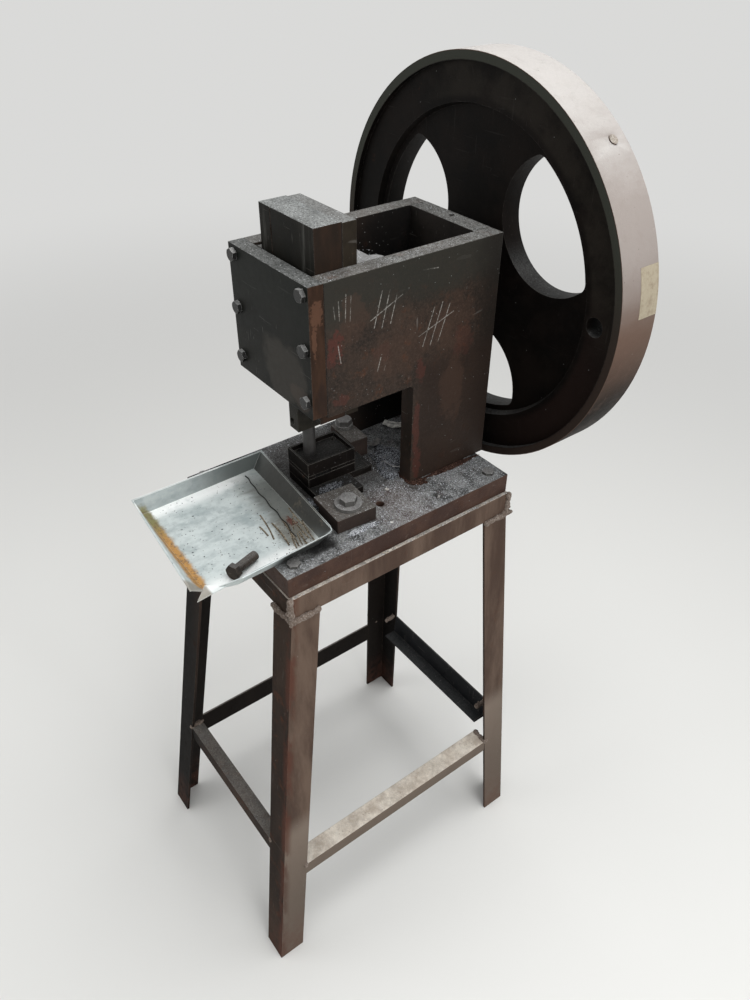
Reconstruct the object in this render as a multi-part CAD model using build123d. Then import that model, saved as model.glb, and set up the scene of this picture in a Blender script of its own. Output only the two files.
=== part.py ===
from build123d import *
import math
import os

os.makedirs("parts", exist_ok=True)

# Bench press of welded plate on an angle-iron stand, turned by a large flywheel.
# Millimetres. The sizes below are set out from three planes of the press itself:
# X from the shaft's centre plane, Y from the face of the front cover back towards the
# flywheel, Z from the top of the bed. write() then moves every piece into the part's own
# frame, whose origin is on the floor under the middle of the whole object.

# Clearances
slide_clearance = 0.1  # each face of the ram to its guide
running_clearance = 0.05  # radial, a shaft in its bush and the pin in its block
seat_clearance = 0.05  # radial, what sits still in a hole
end_clearance = 0.3  # along the shaft
link_clearance = 1.0  # all round the slide block at the ends of every travel

# Screws and bolts of every size
crown_inset = 0.2  # flat top of a hexagon head, inside its flats
socket_share = 0.6  # flats of a countersunk screw's socket, of its diameter
socket_depth_share = 0.4

# Stand
stand_height = 900
rail_width = 40
rail_height = 40
rail_thickness = 5
leg_width = 50
leg_thickness = 5
splay_right = 48
splay_left = 84
splay_front = 108
splay_rear = 53
right_stretcher_drop = 660
right_stretcher_flange = 35
right_stretcher_web = 30
left_stretcher_drop = 650
left_stretcher_flange = 30
left_stretcher_web = 50
front_stretcher_drop = 605
front_stretcher_flange = 25
front_stretcher_web = 38
rear_stretcher_drop = 606
rear_stretcher_flange = 30
rear_stretcher_web = 55
stretcher_thickness = 4

# Bed plate and its bolts
bed_width = 305
head_overhang = 13  # the head stands out past the bed's rear edge
bed_thickness = 35
bed_left = 128  # from the shaft's centre plane to the left edge
bed_front = 103  # from the front cover's face to the front edge
ledge_right = 6  # the rails stand out past the bed by these
ledge_left = 6
ledge_front = 2
ledge_rear = 1
bed_bolt_inset_left = 14
bed_bolt_inset_right = 22
bed_bolt_inset_ends = 24
bed_bolt_diameter = 12
bed_bolt_flats = 18
bed_bolt_head = 5
bed_nut_height = 10
chute_diameter = 36
chute_chamfer = 1
tool_hole_diameter = 13
tool_hole_x = 115
tool_hole_y = 106

# Head: side plates, rear plate, guide plate, front cover
head_width = 200
head_length = 335
head_height = 375
side_thickness = 28
throat_height = 178
throat_depth = 178
throat_radius = 8
rear_thickness = 32
guide_thickness = 30
guide_fillet = 15
cover_thickness = 24
cover_height = 192
cover_bolt_diameter = 10
cover_bolt_flats = 17
cover_bolt_head = 6.5
cover_bolt_length = 44
cover_bolt_inset = 14
cover_bolt_spacing = 77.5
bolt_turn_step = 13  # no two heads are left square with each other
oil_hole_diameter = 8
oil_hole_depth = 30
oil_way_diameter = 4  # drilled on from the oil hole to the shaft
oil_hole_from_rear = 11

# Ram, its wear plate and its gib
ram_height = 284
ram_rise = 59.5  # ram top above the head's rim at the bottom of the stroke
ram_block_depth = 44
yoke_depth = 22.8
yoke_step = 1.5
groove_width = 1.6
groove_depth = 1.2
groove_from_left = 28
wear_thickness = 5.8
wear_below_rim = 7
wear_screw_diameter = 6
wear_screw_length = 20
wear_screw_head = 10
wear_screw_reach = 62  # up and down from the middle of the wear plate
gib_thickness = 12.4
gib_below_rim = 4
gib_screw_diameter = 10
gib_screw_length = 46
gib_point_diameter = 6.5
gib_point_length = 2
gib_nut_flats = 17
gib_nut_height = 6
gib_screw_spacing = 68
yoke_screw_diameter = 10
yoke_screw_length = 46
yoke_screw_spacing_x = 92
yoke_screw_spacing_z = 170

# Crankshaft, bushes and slide block
shaft_height = 280
shaft_diameter = 40
eccentricity = 10
pin_diameter = 18
pin_length = 20
bush_thickness = 5
block_width = 34
block_height = 24
block_depth = 18
collar_diameter = 64
collar_width = 20
collar_screw_diameter = 8
collar_screw_sink = 1
seat_diameter = 36
thread_diameter = 30
key_width = 10
key_height = 8
key_length = 56
key_sink = 5  # depth of its seat below the top of the shaft

# Flywheel and what holds it
wheel_diameter = 620
rim_width = 74
rim_gap = 22  # from the head's rear face to the rim
lip_width = 13
lip_depth = 9
rear_lip_draft = 2
rim_depth = 68  # from the outside of the rim in to the edge of its front face
rim_draft = 4  # the inside of the rim draws in by this towards the web
web_thickness = 34
web_setback = 21  # from the front of the rim to the front of the web
rear_dish_depth = 10
rear_dish_width = 30
hub_diameter = 96
hub_front_gap = 1
hub_behind_web = 3
window_count = 3
window_angle = 35
window_radius = 99
window_margin = 13  # web left between the windows and the rim
window_set_in = 44  # centre of a window's round inside its outer edge
window_fillet = 16
handle_hole_diameter = 29
handle_hole_inset = 49  # its middle inside the rim's outside
plug_diameter = 14
plug_depth = 18
plug_proud = 1.5
plug_angle = 48
plug_from_front = 49
hub_washer_diameter = 58
hub_washer_thickness = 4
hub_nut_flats = 46
hub_nut_height = 18
thread_past_nut = 4

# Punch and its holder
holder_width = 33
holder_depth = 56
holder_height = 45
holder_chamfer = 9
shank_diameter = 25
shank_length = 30
punch_x = -7
punch_y = 58
punch_diameter = 20
punch_body_diameter = 22
punch_body_length = 26
punch_entry = 3  # how far the punch enters the die at the bottom of the stroke
die_clearance = 0.1
grub_screw_diameter = 10
grub_screw_length = 14

# Die set
die_turn = -2
die_width = 61
die_length = 87
die_offset_x = 9.5  # middle of the die to the right of the punch
die_offset_y = 16  # and behind it
shoe_thickness = 13
shoe_wing = 41.5  # reach of the shoe to the right, under one clamp
shoe_wing_depth = 75
shoe_tongue = 33  # reach of the shoe to the rear, under the other
die_thickness = 17
strip_thickness = 6  # height of the slot that the strip is fed through
strip_width = 30
stripper_thickness = 22
stripper_well = 8  # depth of the hollow in the top of the stripper plate
stripper_rim = 3
die_relief = 4
stripper_clearance = 0.6  # radial, the punch in the stripper plate
die_screw_diameter = 6
die_screw_head = 10
die_screw_head_height = 6
die_screw_inset = 8.5
die_screw_sink = 1
die_screw_socket = 5

# Strap clamps, one at the right of the die and one behind it on the left
clamp_turn = -4
right_clamp_length = 72
right_clamp_width = 68
right_clamp_height = 24
right_clamp_from_punch = 110.5
right_clamp_y = 47
right_clamp_toe = 14
right_clamp_bolt_offset = 10.5
right_clamp_washer = 42
left_clamp_length = 64
left_clamp_width = 34
left_clamp_height = 35
left_clamp_from_punch = 33
left_clamp_y = 158
left_clamp_toe = 14
left_clamp_bolt_offset = 16
left_clamp_washer = 30
clamp_bolt_diameter = 16
clamp_bolt_flats = 24
clamp_bolt_head = 10
clamp_bolt_turn = 8
clamp_bolt_short = 1  # its end stops this far above the bed's underside
clamp_washer_thickness = 3

# Tray and the loose bolt that lies in it
tray_depth = 25
tray_sheet = 1.2
tray_rim = ((-90, -210), (141, -230), (160, -163), (153, -6), (-89, 16))
tray_floor = ((-80, -203), (128, -207), (143, -163), (138, -17), (-84, -3))
tray_ear = ((128, -204), (151, -227), (147, -180))
tray_ear_height = 10
tray_corner = 14
tray_notch = (0.25, 0.55)  # the ear's share of the right front wall, from and to
loose_bolt_diameter = 14
loose_bolt_flats = 21
loose_bolt_head = 9
loose_bolt_length = 42
loose_bolt_x = 127
loose_bolt_y = -155
loose_bolt_turn = 111

# Places that follow from the sizes
bed_right = bed_width - bed_left
bed_rear = head_length - head_overhang
rail_right_x = bed_right + ledge_right
rail_left_x = -bed_left - ledge_left
rail_front_y = -bed_front - ledge_front
rail_rear_y = bed_rear + ledge_rear
leg_top_z = -bed_thickness - rail_height
floor_z = -stand_height
inner_x = head_width / 2 - side_thickness
ram_left_x = -inner_x + gib_thickness + slide_clearance
ram_right_x = inner_x - slide_clearance
wear_rear_y = cover_thickness + wear_thickness
ram_front_y = wear_rear_y + slide_clearance
yoke_front_y = ram_front_y + ram_block_depth
yoke_rear_y = yoke_front_y + yoke_depth
guide_front_y = yoke_rear_y + slide_clearance
guide_rear_y = guide_front_y + guide_thickness
rear_front_y = head_length - rear_thickness
ram_top_z = head_height + ram_rise
ram_bottom_z = ram_top_z - ram_height
cover_bottom_z = head_height - cover_height
pin_z = shaft_height - eccentricity
journal_front_y = guide_front_y + end_clearance
block_front_y = journal_front_y - end_clearance - 2 * link_clearance - block_depth
hub_front_y = head_length + hub_front_gap
rim_front_y = head_length + rim_gap
web_front_y = rim_front_y + web_setback
web_rear_y = web_front_y + web_thickness
hub_rear_y = web_rear_y + hub_behind_web
rim_rear_y = rim_front_y + rim_width
washer_rear_y = hub_rear_y + hub_washer_thickness
nut_rear_y = washer_rear_y + hub_nut_height
shaft_rear_y = nut_rear_y + thread_past_nut
holder_bottom_z = ram_bottom_z - holder_height
shoe_top_z = shoe_thickness
die_top_z = shoe_top_z + die_thickness
strip_top_z = die_top_z + strip_thickness
stripper_top_z = strip_top_z + stripper_thickness
punch_tip_z = die_top_z - punch_entry
wheel_radius = wheel_diameter / 2
rim_inner_radius = wheel_radius - rim_depth
front_most_y = min(y for x, y in tray_rim)
middle_y = (front_most_y + shaft_rear_y) / 2
to_part_frame = Pos(0, -middle_y, stand_height)


def write(name, piece):
    """Writes one node, or a node of several like pieces, in the part's own frame."""
    if isinstance(piece, list):
        piece = Compound(children=[to_part_frame * each for each in piece])
    else:
        piece = to_part_frame * piece
    export_step(piece, f"parts/{name}.step")


def block(x0, x1, y0, y1, z0, z1):
    """A box between two planes each way, given in either order."""
    size = Box(abs(x1 - x0), abs(y1 - y0), abs(z1 - z0))
    return Pos((x0 + x1) / 2, (y0 + y1) / 2, (z0 + z1) / 2) * size


def rod(start, direction, diameter, length):
    """A round bar from its start point along a direction."""
    bar = Cylinder(diameter / 2, length, align=(Align.CENTER, Align.CENTER, Align.MIN))
    return Plane(origin=start, z_dir=direction) * bar


def cone(start, direction, start_diameter, end_diameter, length):
    """A tapered round bar from its start point along a direction."""
    bar = Cone(start_diameter / 2, end_diameter / 2, length,
               align=(Align.CENTER, Align.CENTER, Align.MIN))
    return Plane(origin=start, z_dir=direction) * bar


def hexagon(start, direction, flats, length, turn=0):
    """A hexagon bar from its start point along a direction, its far end chamfered."""
    outline = Rot(0, 0, turn) * RegularPolygon(flats / 2, 6, major_radius=False)
    corners = flats / math.cos(math.radians(30))
    drop = (corners - flats) / 2 * math.tan(math.radians(30))
    crown = Cylinder(corners / 2, length - drop, align=(Align.CENTER, Align.CENTER, Align.MIN))
    crown += Pos(0, 0, length - drop) * Cone(
        corners / 2, flats / 2 - crown_inset, drop, align=(Align.CENTER, Align.CENTER, Align.MIN))
    return Plane(origin=start, z_dir=direction) * (extrude(outline, length) & crown)


def bolt(under_head, direction, diameter, length, flats, head, turn=0):
    """A hexagon-headed bolt: its shank runs along the direction, its head stands behind."""
    back = tuple(-each for each in direction)
    return rod(under_head, direction, diameter, length) + hexagon(under_head, back, flats, head, turn)


def socket_screw(face, direction, diameter, length, flats):
    """A headless screw with a hexagon socket in the end at its face."""
    outline = RegularPolygon(flats / 2, 6, major_radius=False)
    socket = Plane(origin=face, z_dir=direction) * extrude(outline, flats)
    return rod(face, direction, diameter, length) - socket


def countersunk_screw(face, direction, diameter, length, head_diameter):
    """A countersunk screw, its flat head flush with a face, with a hexagon socket."""
    head_height = (head_diameter - diameter) / 2
    outline = RegularPolygon(diameter * socket_share / 2, 6, major_radius=False)
    socket = Plane(origin=face, z_dir=direction) * extrude(outline, diameter * socket_depth_share)
    head = cone(face, direction, head_diameter, diameter, head_height)
    return rod(face, direction, diameter, length) + head - socket


def countersink(face, direction, diameter, length, head_diameter):
    """The hole for a countersunk screw."""
    wide = 2 * seat_clearance
    head_height = (head_diameter - diameter) / 2
    head = cone(face, direction, head_diameter + wide, diameter + wide, head_height)
    return rod(face, direction, diameter + wide, length + seat_clearance) + head


def nut(start, direction, flats, height, hole):
    """A hexagon nut from its seat along a direction."""
    return hexagon(start, direction, flats, height) - rod(start, direction, hole, height)


# Stand

bed_bolt_places = [
    (x, y)
    for x in (-bed_left + bed_bolt_inset_left, bed_right - bed_bolt_inset_right)
    for y in (-bed_front + bed_bolt_inset_ends, bed_rear - bed_bolt_inset_ends)
]


def bed_bolt_holes():
    """The holes that go down through the bed plate and the rails' flanges."""
    depth = bed_thickness + rail_thickness
    hole = bed_bolt_diameter + 2 * seat_clearance
    return [rod((x, y, 0), (0, 0, -1), hole, depth) for x, y in bed_bolt_places]


def rail_frame():
    """The four rails as one ring of angle, flange on top and web outside."""
    z0 = leg_top_z
    z1 = -bed_thickness
    ring = block(rail_left_x, rail_right_x, rail_front_y, rail_rear_y, z0, z1)
    under = block(rail_left_x + rail_thickness, rail_right_x - rail_thickness,
                  rail_front_y + rail_thickness, rail_rear_y - rail_thickness,
                  z0, z1 - rail_thickness)
    window = block(rail_left_x + rail_width, rail_right_x - rail_width,
                   rail_front_y + rail_width, rail_rear_y - rail_width, z0, z1)
    return ring - under - window


def mitre_wedge(start, end, inward):
    """The plan of one rail of the ring, cut at 45 degrees at both corners."""
    along = ((end[0] > start[0]) - (end[0] < start[0]), (end[1] > start[1]) - (end[1] < start[1]))
    outline = Polyline(
        start,
        end,
        (end[0] + (inward[0] - along[0]) * rail_width, end[1] + (inward[1] - along[1]) * rail_width),
        (start[0] + (inward[0] + along[0]) * rail_width,
         start[1] + (inward[1] + along[1]) * rail_width),
        close=True,
    )
    return Pos(0, 0, leg_top_z) * extrude(make_face(outline), rail_height, dir=(0, 0, 1))


def make_rails():
    ring = rail_frame()
    for hole in bed_bolt_holes():
        ring -= hole
    front_left = (rail_left_x, rail_front_y)
    front_right = (rail_right_x, rail_front_y)
    rear_left = (rail_left_x, rail_rear_y)
    rear_right = (rail_right_x, rail_rear_y)
    write("rail_front", ring & mitre_wedge(front_left, front_right, (0, 1)))
    write("rail_right", ring & mitre_wedge(front_right, rear_right, (-1, 0)))
    write("rail_rear", ring & mitre_wedge(rear_right, rear_left, (0, -1)))
    write("rail_left", ring & mitre_wedge(rear_left, front_left, (1, 0)))


def leg_corner(side_x, side_y, z):
    """The outer corner of a leg at a height, in plan."""
    share = (leg_top_z - z) / (leg_top_z - floor_z)
    x = rail_right_x + splay_right * share if side_x > 0 else rail_left_x - splay_left * share
    y = rail_rear_y + splay_rear * share if side_y > 0 else rail_front_y - splay_front * share
    return x, y


def slanted(side_x, side_y, outline):
    """A section at the top of a leg, carried down the leg's slope to the floor."""
    top_x, top_y = leg_corner(side_x, side_y, leg_top_z)
    foot_x, foot_y = leg_corner(side_x, side_y, floor_z)
    slope = (foot_x - top_x, foot_y - top_y, floor_z - leg_top_z)
    section = Pos(top_x, top_y, leg_top_z) * make_face(outline)
    return extrude(section, math.hypot(*slope), dir=slope)


def leg(side_x, side_y):
    """A leg of equal angle, corner outwards, cut level at the rails and the floor."""
    outline = Polyline(
        (0, 0),
        (-side_x * leg_width, 0),
        (-side_x * leg_width, -side_y * leg_thickness),
        (-side_x * leg_thickness, -side_y * leg_thickness),
        (-side_x * leg_thickness, -side_y * leg_width),
        (0, -side_y * leg_width),
        close=True,
    )
    return slanted(side_x, side_y, outline)


def leg_space(side_x, side_y):
    """The whole square that a leg stands in, flanges and hollow."""
    outline = Polyline(
        (0, 0),
        (-side_x * leg_width, 0),
        (-side_x * leg_width, -side_y * leg_width),
        (0, -side_y * leg_width),
        close=True,
    )
    return slanted(side_x, side_y, outline)


def side_stretcher(side_x, drop, web, flange, flange_low, flange_out):
    """An angle bar along Y between a front and a rear leg, flush with their outer faces."""
    top_z = -drop
    outer_x, front_y = leg_corner(side_x, -1, top_z)
    rear_y = leg_corner(side_x, 1, top_z)[1]
    y0 = front_y + leg_width / 2
    y1 = rear_y - leg_width / 2
    low_z = top_z - web
    flange_z = low_z if flange_low else top_z - stretcher_thickness
    start_x = outer_x - side_x * stretcher_thickness if flange_out else outer_x
    end_x = start_x + side_x * flange if flange_out else outer_x - side_x * flange
    bar = block(outer_x, outer_x - side_x * stretcher_thickness, y0, y1, low_z, top_z)
    bar += block(start_x, end_x, y0, y1, flange_z, flange_z + stretcher_thickness)
    return bar - leg_space(side_x, -1) - leg_space(side_x, 1)


def cross_stretcher(side_y, drop, web, flange, flange_low):
    """An angle bar along X between a left and a right leg, flush with their outer faces."""
    top_z = -drop
    left_x, outer_y = leg_corner(-1, side_y, top_z)
    right_x = leg_corner(1, side_y, top_z)[0]
    x0 = left_x + leg_width / 2
    x1 = right_x - leg_width / 2
    low_z = top_z - web
    flange_z = low_z if flange_low else top_z - stretcher_thickness
    bar = block(x0, x1, outer_y, outer_y - side_y * stretcher_thickness, low_z, top_z)
    bar += block(x0, x1, outer_y, outer_y - side_y * flange, flange_z,
                 flange_z + stretcher_thickness)
    return bar - leg_space(-1, side_y) - leg_space(1, side_y)


def make_stand():
    make_rails()
    write("leg_front_right", leg(1, -1))
    write("leg_front_left", leg(-1, -1))
    write("leg_rear_right", leg(1, 1))
    write("leg_rear_left", leg(-1, 1))
    write("stretcher_right", side_stretcher(
        1, right_stretcher_drop, right_stretcher_web, right_stretcher_flange, False, False))
    write("stretcher_left", side_stretcher(
        -1, left_stretcher_drop, left_stretcher_web, left_stretcher_flange, True, True))
    write("stretcher_front", cross_stretcher(
        -1, front_stretcher_drop, front_stretcher_web, front_stretcher_flange, False))
    write("stretcher_rear", cross_stretcher(
        1, rear_stretcher_drop, rear_stretcher_web, rear_stretcher_flange, True))


# Bed plate

def clamp_place(side):
    """The middle of a strap clamp, in plan: side is 1 on the right, -1 on the left."""
    if side > 0:
        return punch_x + right_clamp_from_punch, right_clamp_y
    return punch_x - left_clamp_from_punch, left_clamp_y


def clamp_bolt_place(side):
    turn = math.radians(clamp_turn)
    x, y = clamp_place(side)
    reach = right_clamp_bolt_offset if side > 0 else -left_clamp_bolt_offset
    return x + reach * math.cos(turn), y + reach * math.sin(turn)


def make_bed():
    bed = block(-bed_left, bed_right, -bed_front, bed_rear, -bed_thickness, 0)
    for hole in bed_bolt_holes():
        bed -= hole
    wide = chute_diameter + 2 * chute_chamfer
    bed -= rod((punch_x, punch_y, 0), (0, 0, -1), chute_diameter, bed_thickness)
    bed -= cone((punch_x, punch_y, 0), (0, 0, -1), wide, chute_diameter, chute_chamfer)
    bed -= cone((punch_x, punch_y, -bed_thickness), (0, 0, 1), wide, chute_diameter, chute_chamfer)
    bed -= rod((tool_hole_x, tool_hole_y, 0), (0, 0, -1), tool_hole_diameter, bed_thickness)
    for side in (-1, 1):
        x, y = clamp_bolt_place(side)
        tapped = clamp_bolt_diameter + 2 * seat_clearance
        bed -= rod((x, y, 0), (0, 0, -1), tapped, bed_thickness)
    write("bed_plate", bed)

    grip = bed_thickness + rail_thickness
    bolts = []
    nuts = []
    for x, y in bed_bolt_places:
        length = grip + bed_nut_height + end_clearance
        bolts.append(bolt((x, y, 0), (0, 0, -1), bed_bolt_diameter, length, bed_bolt_flats,
                          bed_bolt_head))
        hole = bed_bolt_diameter + 2 * seat_clearance
        nuts.append(nut((x, y, -grip), (0, 0, -1), bed_bolt_flats, bed_nut_height, hole))
    write("bed_bolts", bolts)
    write("bed_nuts", nuts)


# Head

cover_bolt_x = head_width / 2 - cover_bolt_inset
cover_bolt_top_z = head_height - cover_bolt_inset
cover_bolt_places = [
    (side * cover_bolt_x, cover_bolt_top_z - row * cover_bolt_spacing)
    for side in (-1, 1)
    for row in range(3)
]
oil_hole_place = (0, head_length - oil_hole_from_rear, head_height)
guide_middle_y = (ram_front_y + yoke_rear_y) / 2
gib_middle_z = (head_height + cover_bottom_z) / 2
gib_screw_heights = [gib_middle_z + row * gib_screw_spacing for row in (-1, 0, 1)]


def side_plate(side):
    """One side: a plate cut to the shape of the throat, its front edge tapped for the cover."""
    outline = Polyline(
        (cover_thickness, throat_height),
        (throat_depth, throat_height),
        (throat_depth, 0),
        (head_length, 0),
        (head_length, head_height),
        (cover_thickness, head_height),
        close=True,
    )
    profile = Plane.YZ * make_face(outline)
    start_x = inner_x if side > 0 else -inner_x - side_thickness
    plate = Pos(start_x, 0, 0) * extrude(profile, side_thickness, dir=(1, 0, 0))
    corner = Vector(start_x + side_thickness / 2, throat_depth, throat_height)
    plate = fillet(plate.edges().sort_by_distance(corner)[0], throat_radius)
    for x, z in cover_bolt_places:
        if x * side > 0:
            depth = cover_bolt_length - cover_thickness + seat_clearance
            tapped = cover_bolt_diameter + 2 * seat_clearance
            plate -= rod((x, cover_thickness, z), (0, 1, 0), tapped, depth)
    if side < 0:
        for z in gib_screw_heights:
            tapped = gib_screw_diameter + 2 * seat_clearance
            plate -= rod((-inner_x, guide_middle_y, z), (-1, 0, 0), tapped, side_thickness)
    return plate


def bush_bore(start_y, length):
    """The bore for a bush in one of the two plates that carry the shaft."""
    diameter = shaft_diameter + 2 * running_clearance + 2 * bush_thickness + 2 * seat_clearance
    return rod((0, start_y, shaft_height), (0, 1, 0), diameter, length)


def oil_way():
    """The fine hole from the top of the rear plate down to the shaft."""
    return rod(oil_hole_place, (0, 0, -1), oil_way_diameter, head_height - shaft_height)


def make_guide_plate():
    """The plate behind the ram, its ends swept out into the sides by two hollow fillets."""
    half = inner_x
    r = guide_fillet
    outline = Line((-half, guide_front_y), (half, guide_front_y))
    outline += Line((half, guide_front_y), (half, guide_rear_y + r))
    outline += RadiusArc((half, guide_rear_y + r), (half - r, guide_rear_y), -r)
    outline += Line((half - r, guide_rear_y), (-half + r, guide_rear_y))
    outline += RadiusArc((-half + r, guide_rear_y), (-half, guide_rear_y + r), -r)
    outline += Line((-half, guide_rear_y + r), (-half, guide_front_y))
    plate = extrude(make_face(outline), head_height - throat_height, dir=(0, 0, 1))
    plate = Pos(0, 0, throat_height) * plate
    return plate - bush_bore(guide_front_y, guide_thickness)


def make_head():
    write("side_plate_right", side_plate(1))
    write("side_plate_left", side_plate(-1))
    write("guide_plate", make_guide_plate())

    rear = block(-inner_x, inner_x, rear_front_y, head_length, 0, head_height)
    rear -= bush_bore(rear_front_y, rear_thickness)
    rear -= rod(oil_hole_place, (0, 0, -1), oil_hole_diameter, oil_hole_depth)
    rear -= oil_way()
    write("rear_plate", rear)

    cover = block(-head_width / 2, head_width / 2, 0, cover_thickness, cover_bottom_z, head_height)
    bolts = []
    for index, (x, z) in enumerate(cover_bolt_places):
        hole = cover_bolt_diameter + 2 * seat_clearance
        cover -= rod((x, 0, z), (0, 1, 0), hole, cover_thickness)
        bolts.append(bolt((x, 0, z), (0, 1, 0), cover_bolt_diameter, cover_bolt_length,
                          cover_bolt_flats, cover_bolt_head, turn=index * bolt_turn_step))
    wear = block(-inner_x + slide_clearance, inner_x - slide_clearance, cover_thickness,
                 wear_rear_y, cover_bottom_z, head_height - wear_below_rim)
    screws = []
    wear_middle_z = (cover_bottom_z + head_height - wear_below_rim) / 2
    for x in (-inner_x / 2, inner_x / 2):
        for z in (wear_middle_z - wear_screw_reach, wear_middle_z + wear_screw_reach):
            place = (x, wear_rear_y, z)
            hole = countersink(place, (0, -1, 0), wear_screw_diameter, wear_screw_length,
                               wear_screw_head)
            wear -= hole
            cover -= hole
            screws.append(countersunk_screw(place, (0, -1, 0), wear_screw_diameter,
                                            wear_screw_length, wear_screw_head))
    write("front_cover", cover)
    write("cover_bolts", bolts)
    write("wear_plate", wear)
    write("wear_plate_screws", screws)


def make_gib():
    """The adjustable strip on the left of the ram, with the screws and nuts that set it."""
    strip = block(-inner_x, -inner_x + gib_thickness, ram_front_y, guide_front_y - slide_clearance,
                  cover_bottom_z, head_height - gib_below_rim)
    screws = []
    nuts = []
    for z in gib_screw_heights:
        face = (-inner_x, guide_middle_y, z)
        tip = gib_point_length - seat_clearance
        strip -= rod(face, (1, 0, 0), gib_point_diameter + 2 * seat_clearance, gib_point_length)
        outer = (-inner_x - gib_screw_length, guide_middle_y, z)
        screw = socket_screw(outer, (1, 0, 0), gib_screw_diameter, gib_screw_length,
                             gib_screw_diameter / 2)
        screws.append(screw + rod(face, (1, 0, 0), gib_point_diameter, tip))
        seat = (-head_width / 2, guide_middle_y, z)
        nuts.append(nut(seat, (-1, 0, 0), gib_nut_flats, gib_nut_height,
                        gib_screw_diameter + 2 * seat_clearance))
    write("gib_strip", strip)
    write("gib_screws", screws)
    write("gib_nuts", nuts)


# Ram

yoke_middle_x = (ram_left_x + ram_right_x) / 2
yoke_screw_head = 2 * yoke_screw_diameter
window_half_x = block_width / 2 + eccentricity + link_clearance
window_bottom_z = shaft_height - eccentricity - block_height / 2 - 2 * eccentricity - link_clearance
window_top_z = shaft_height + eccentricity + block_height / 2 + link_clearance
window_middle_z = (window_bottom_z + window_top_z) / 2
yoke_screw_places = [
    (yoke_middle_x + side * yoke_screw_spacing_x / 2, window_middle_z + row * yoke_screw_spacing_z / 2)
    for side in (-1, 1)
    for row in (-1, 1)
]


def make_ram():
    ram = block(ram_left_x, ram_right_x, ram_front_y, yoke_front_y, ram_bottom_z, ram_top_z)
    groove_x = ram_left_x + groove_from_left
    ram -= block(groove_x, groove_x + groove_width, ram_front_y, ram_front_y + groove_depth,
                 ram_bottom_z, ram_top_z)
    shank_hole = shank_diameter + 2 * seat_clearance
    ram -= rod((punch_x, punch_y, ram_bottom_z), (0, 0, 1), shank_hole, shank_length + seat_clearance)
    screw_z = ram_bottom_z + shank_length / 2
    grub_y = punch_y - shank_diameter / 2 - grub_screw_length
    grub_hole = grub_screw_diameter + 2 * seat_clearance
    ram -= rod((punch_x, ram_front_y, screw_z), (0, 1, 0), grub_hole, punch_y - ram_front_y)

    yoke = block(ram_left_x, ram_right_x, yoke_front_y, yoke_rear_y, ram_bottom_z,
                 ram_top_z - yoke_step)
    yoke -= block(-window_half_x, window_half_x, yoke_front_y, yoke_rear_y, window_bottom_z,
                  window_top_z)
    screws = []
    for x, z in yoke_screw_places:
        place = (x, yoke_rear_y, z)
        hole = countersink(place, (0, -1, 0), yoke_screw_diameter, yoke_screw_length, yoke_screw_head)
        yoke -= hole
        ram -= hole
        screws.append(countersunk_screw(place, (0, -1, 0), yoke_screw_diameter, yoke_screw_length,
                                        yoke_screw_head))
    write("ram", ram)
    write("ram_yoke_plate", yoke)
    write("yoke_screws", screws)

    holder = block(punch_x - holder_width / 2, punch_x + holder_width / 2,
                   punch_y - holder_depth / 2, punch_y + holder_depth / 2,
                   holder_bottom_z, ram_bottom_z)
    corner = Vector(punch_x - holder_width / 2, punch_y - holder_depth / 2,
                    (holder_bottom_z + ram_bottom_z) / 2)
    holder = chamfer(holder.edges().sort_by_distance(corner)[0], holder_chamfer)
    holder += rod((punch_x, punch_y, ram_bottom_z), (0, 0, 1), shank_diameter, shank_length)
    body_hole = punch_body_diameter + 2 * seat_clearance
    holder -= rod((punch_x, punch_y, holder_bottom_z), (0, 0, 1), body_hole,
                  punch_body_length + seat_clearance)
    side_z = holder_bottom_z + punch_body_length / 2
    side_y = punch_y - holder_depth / 2
    holder -= rod((punch_x, side_y, side_z), (0, 1, 0), grub_hole, holder_depth / 2)
    write("punch_holder", holder)

    punch = rod((punch_x, punch_y, holder_bottom_z), (0, 0, 1), punch_body_diameter,
                punch_body_length)
    punch += rod((punch_x, punch_y, punch_tip_z), (0, 0, 1), punch_diameter,
                 holder_bottom_z - punch_tip_z)
    write("punch", punch)

    low_start_y = punch_y - punch_body_diameter / 2 - grub_screw_length
    write("holder_screws", [
        socket_screw((punch_x, grub_y, screw_z), (0, 1, 0), grub_screw_diameter,
                     grub_screw_length, grub_screw_diameter / 2),
        socket_screw((punch_x, low_start_y, side_z), (0, 1, 0), grub_screw_diameter,
                     grub_screw_length, grub_screw_diameter / 2),
    ])


# Crankshaft, its bearings and the slide block

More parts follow.
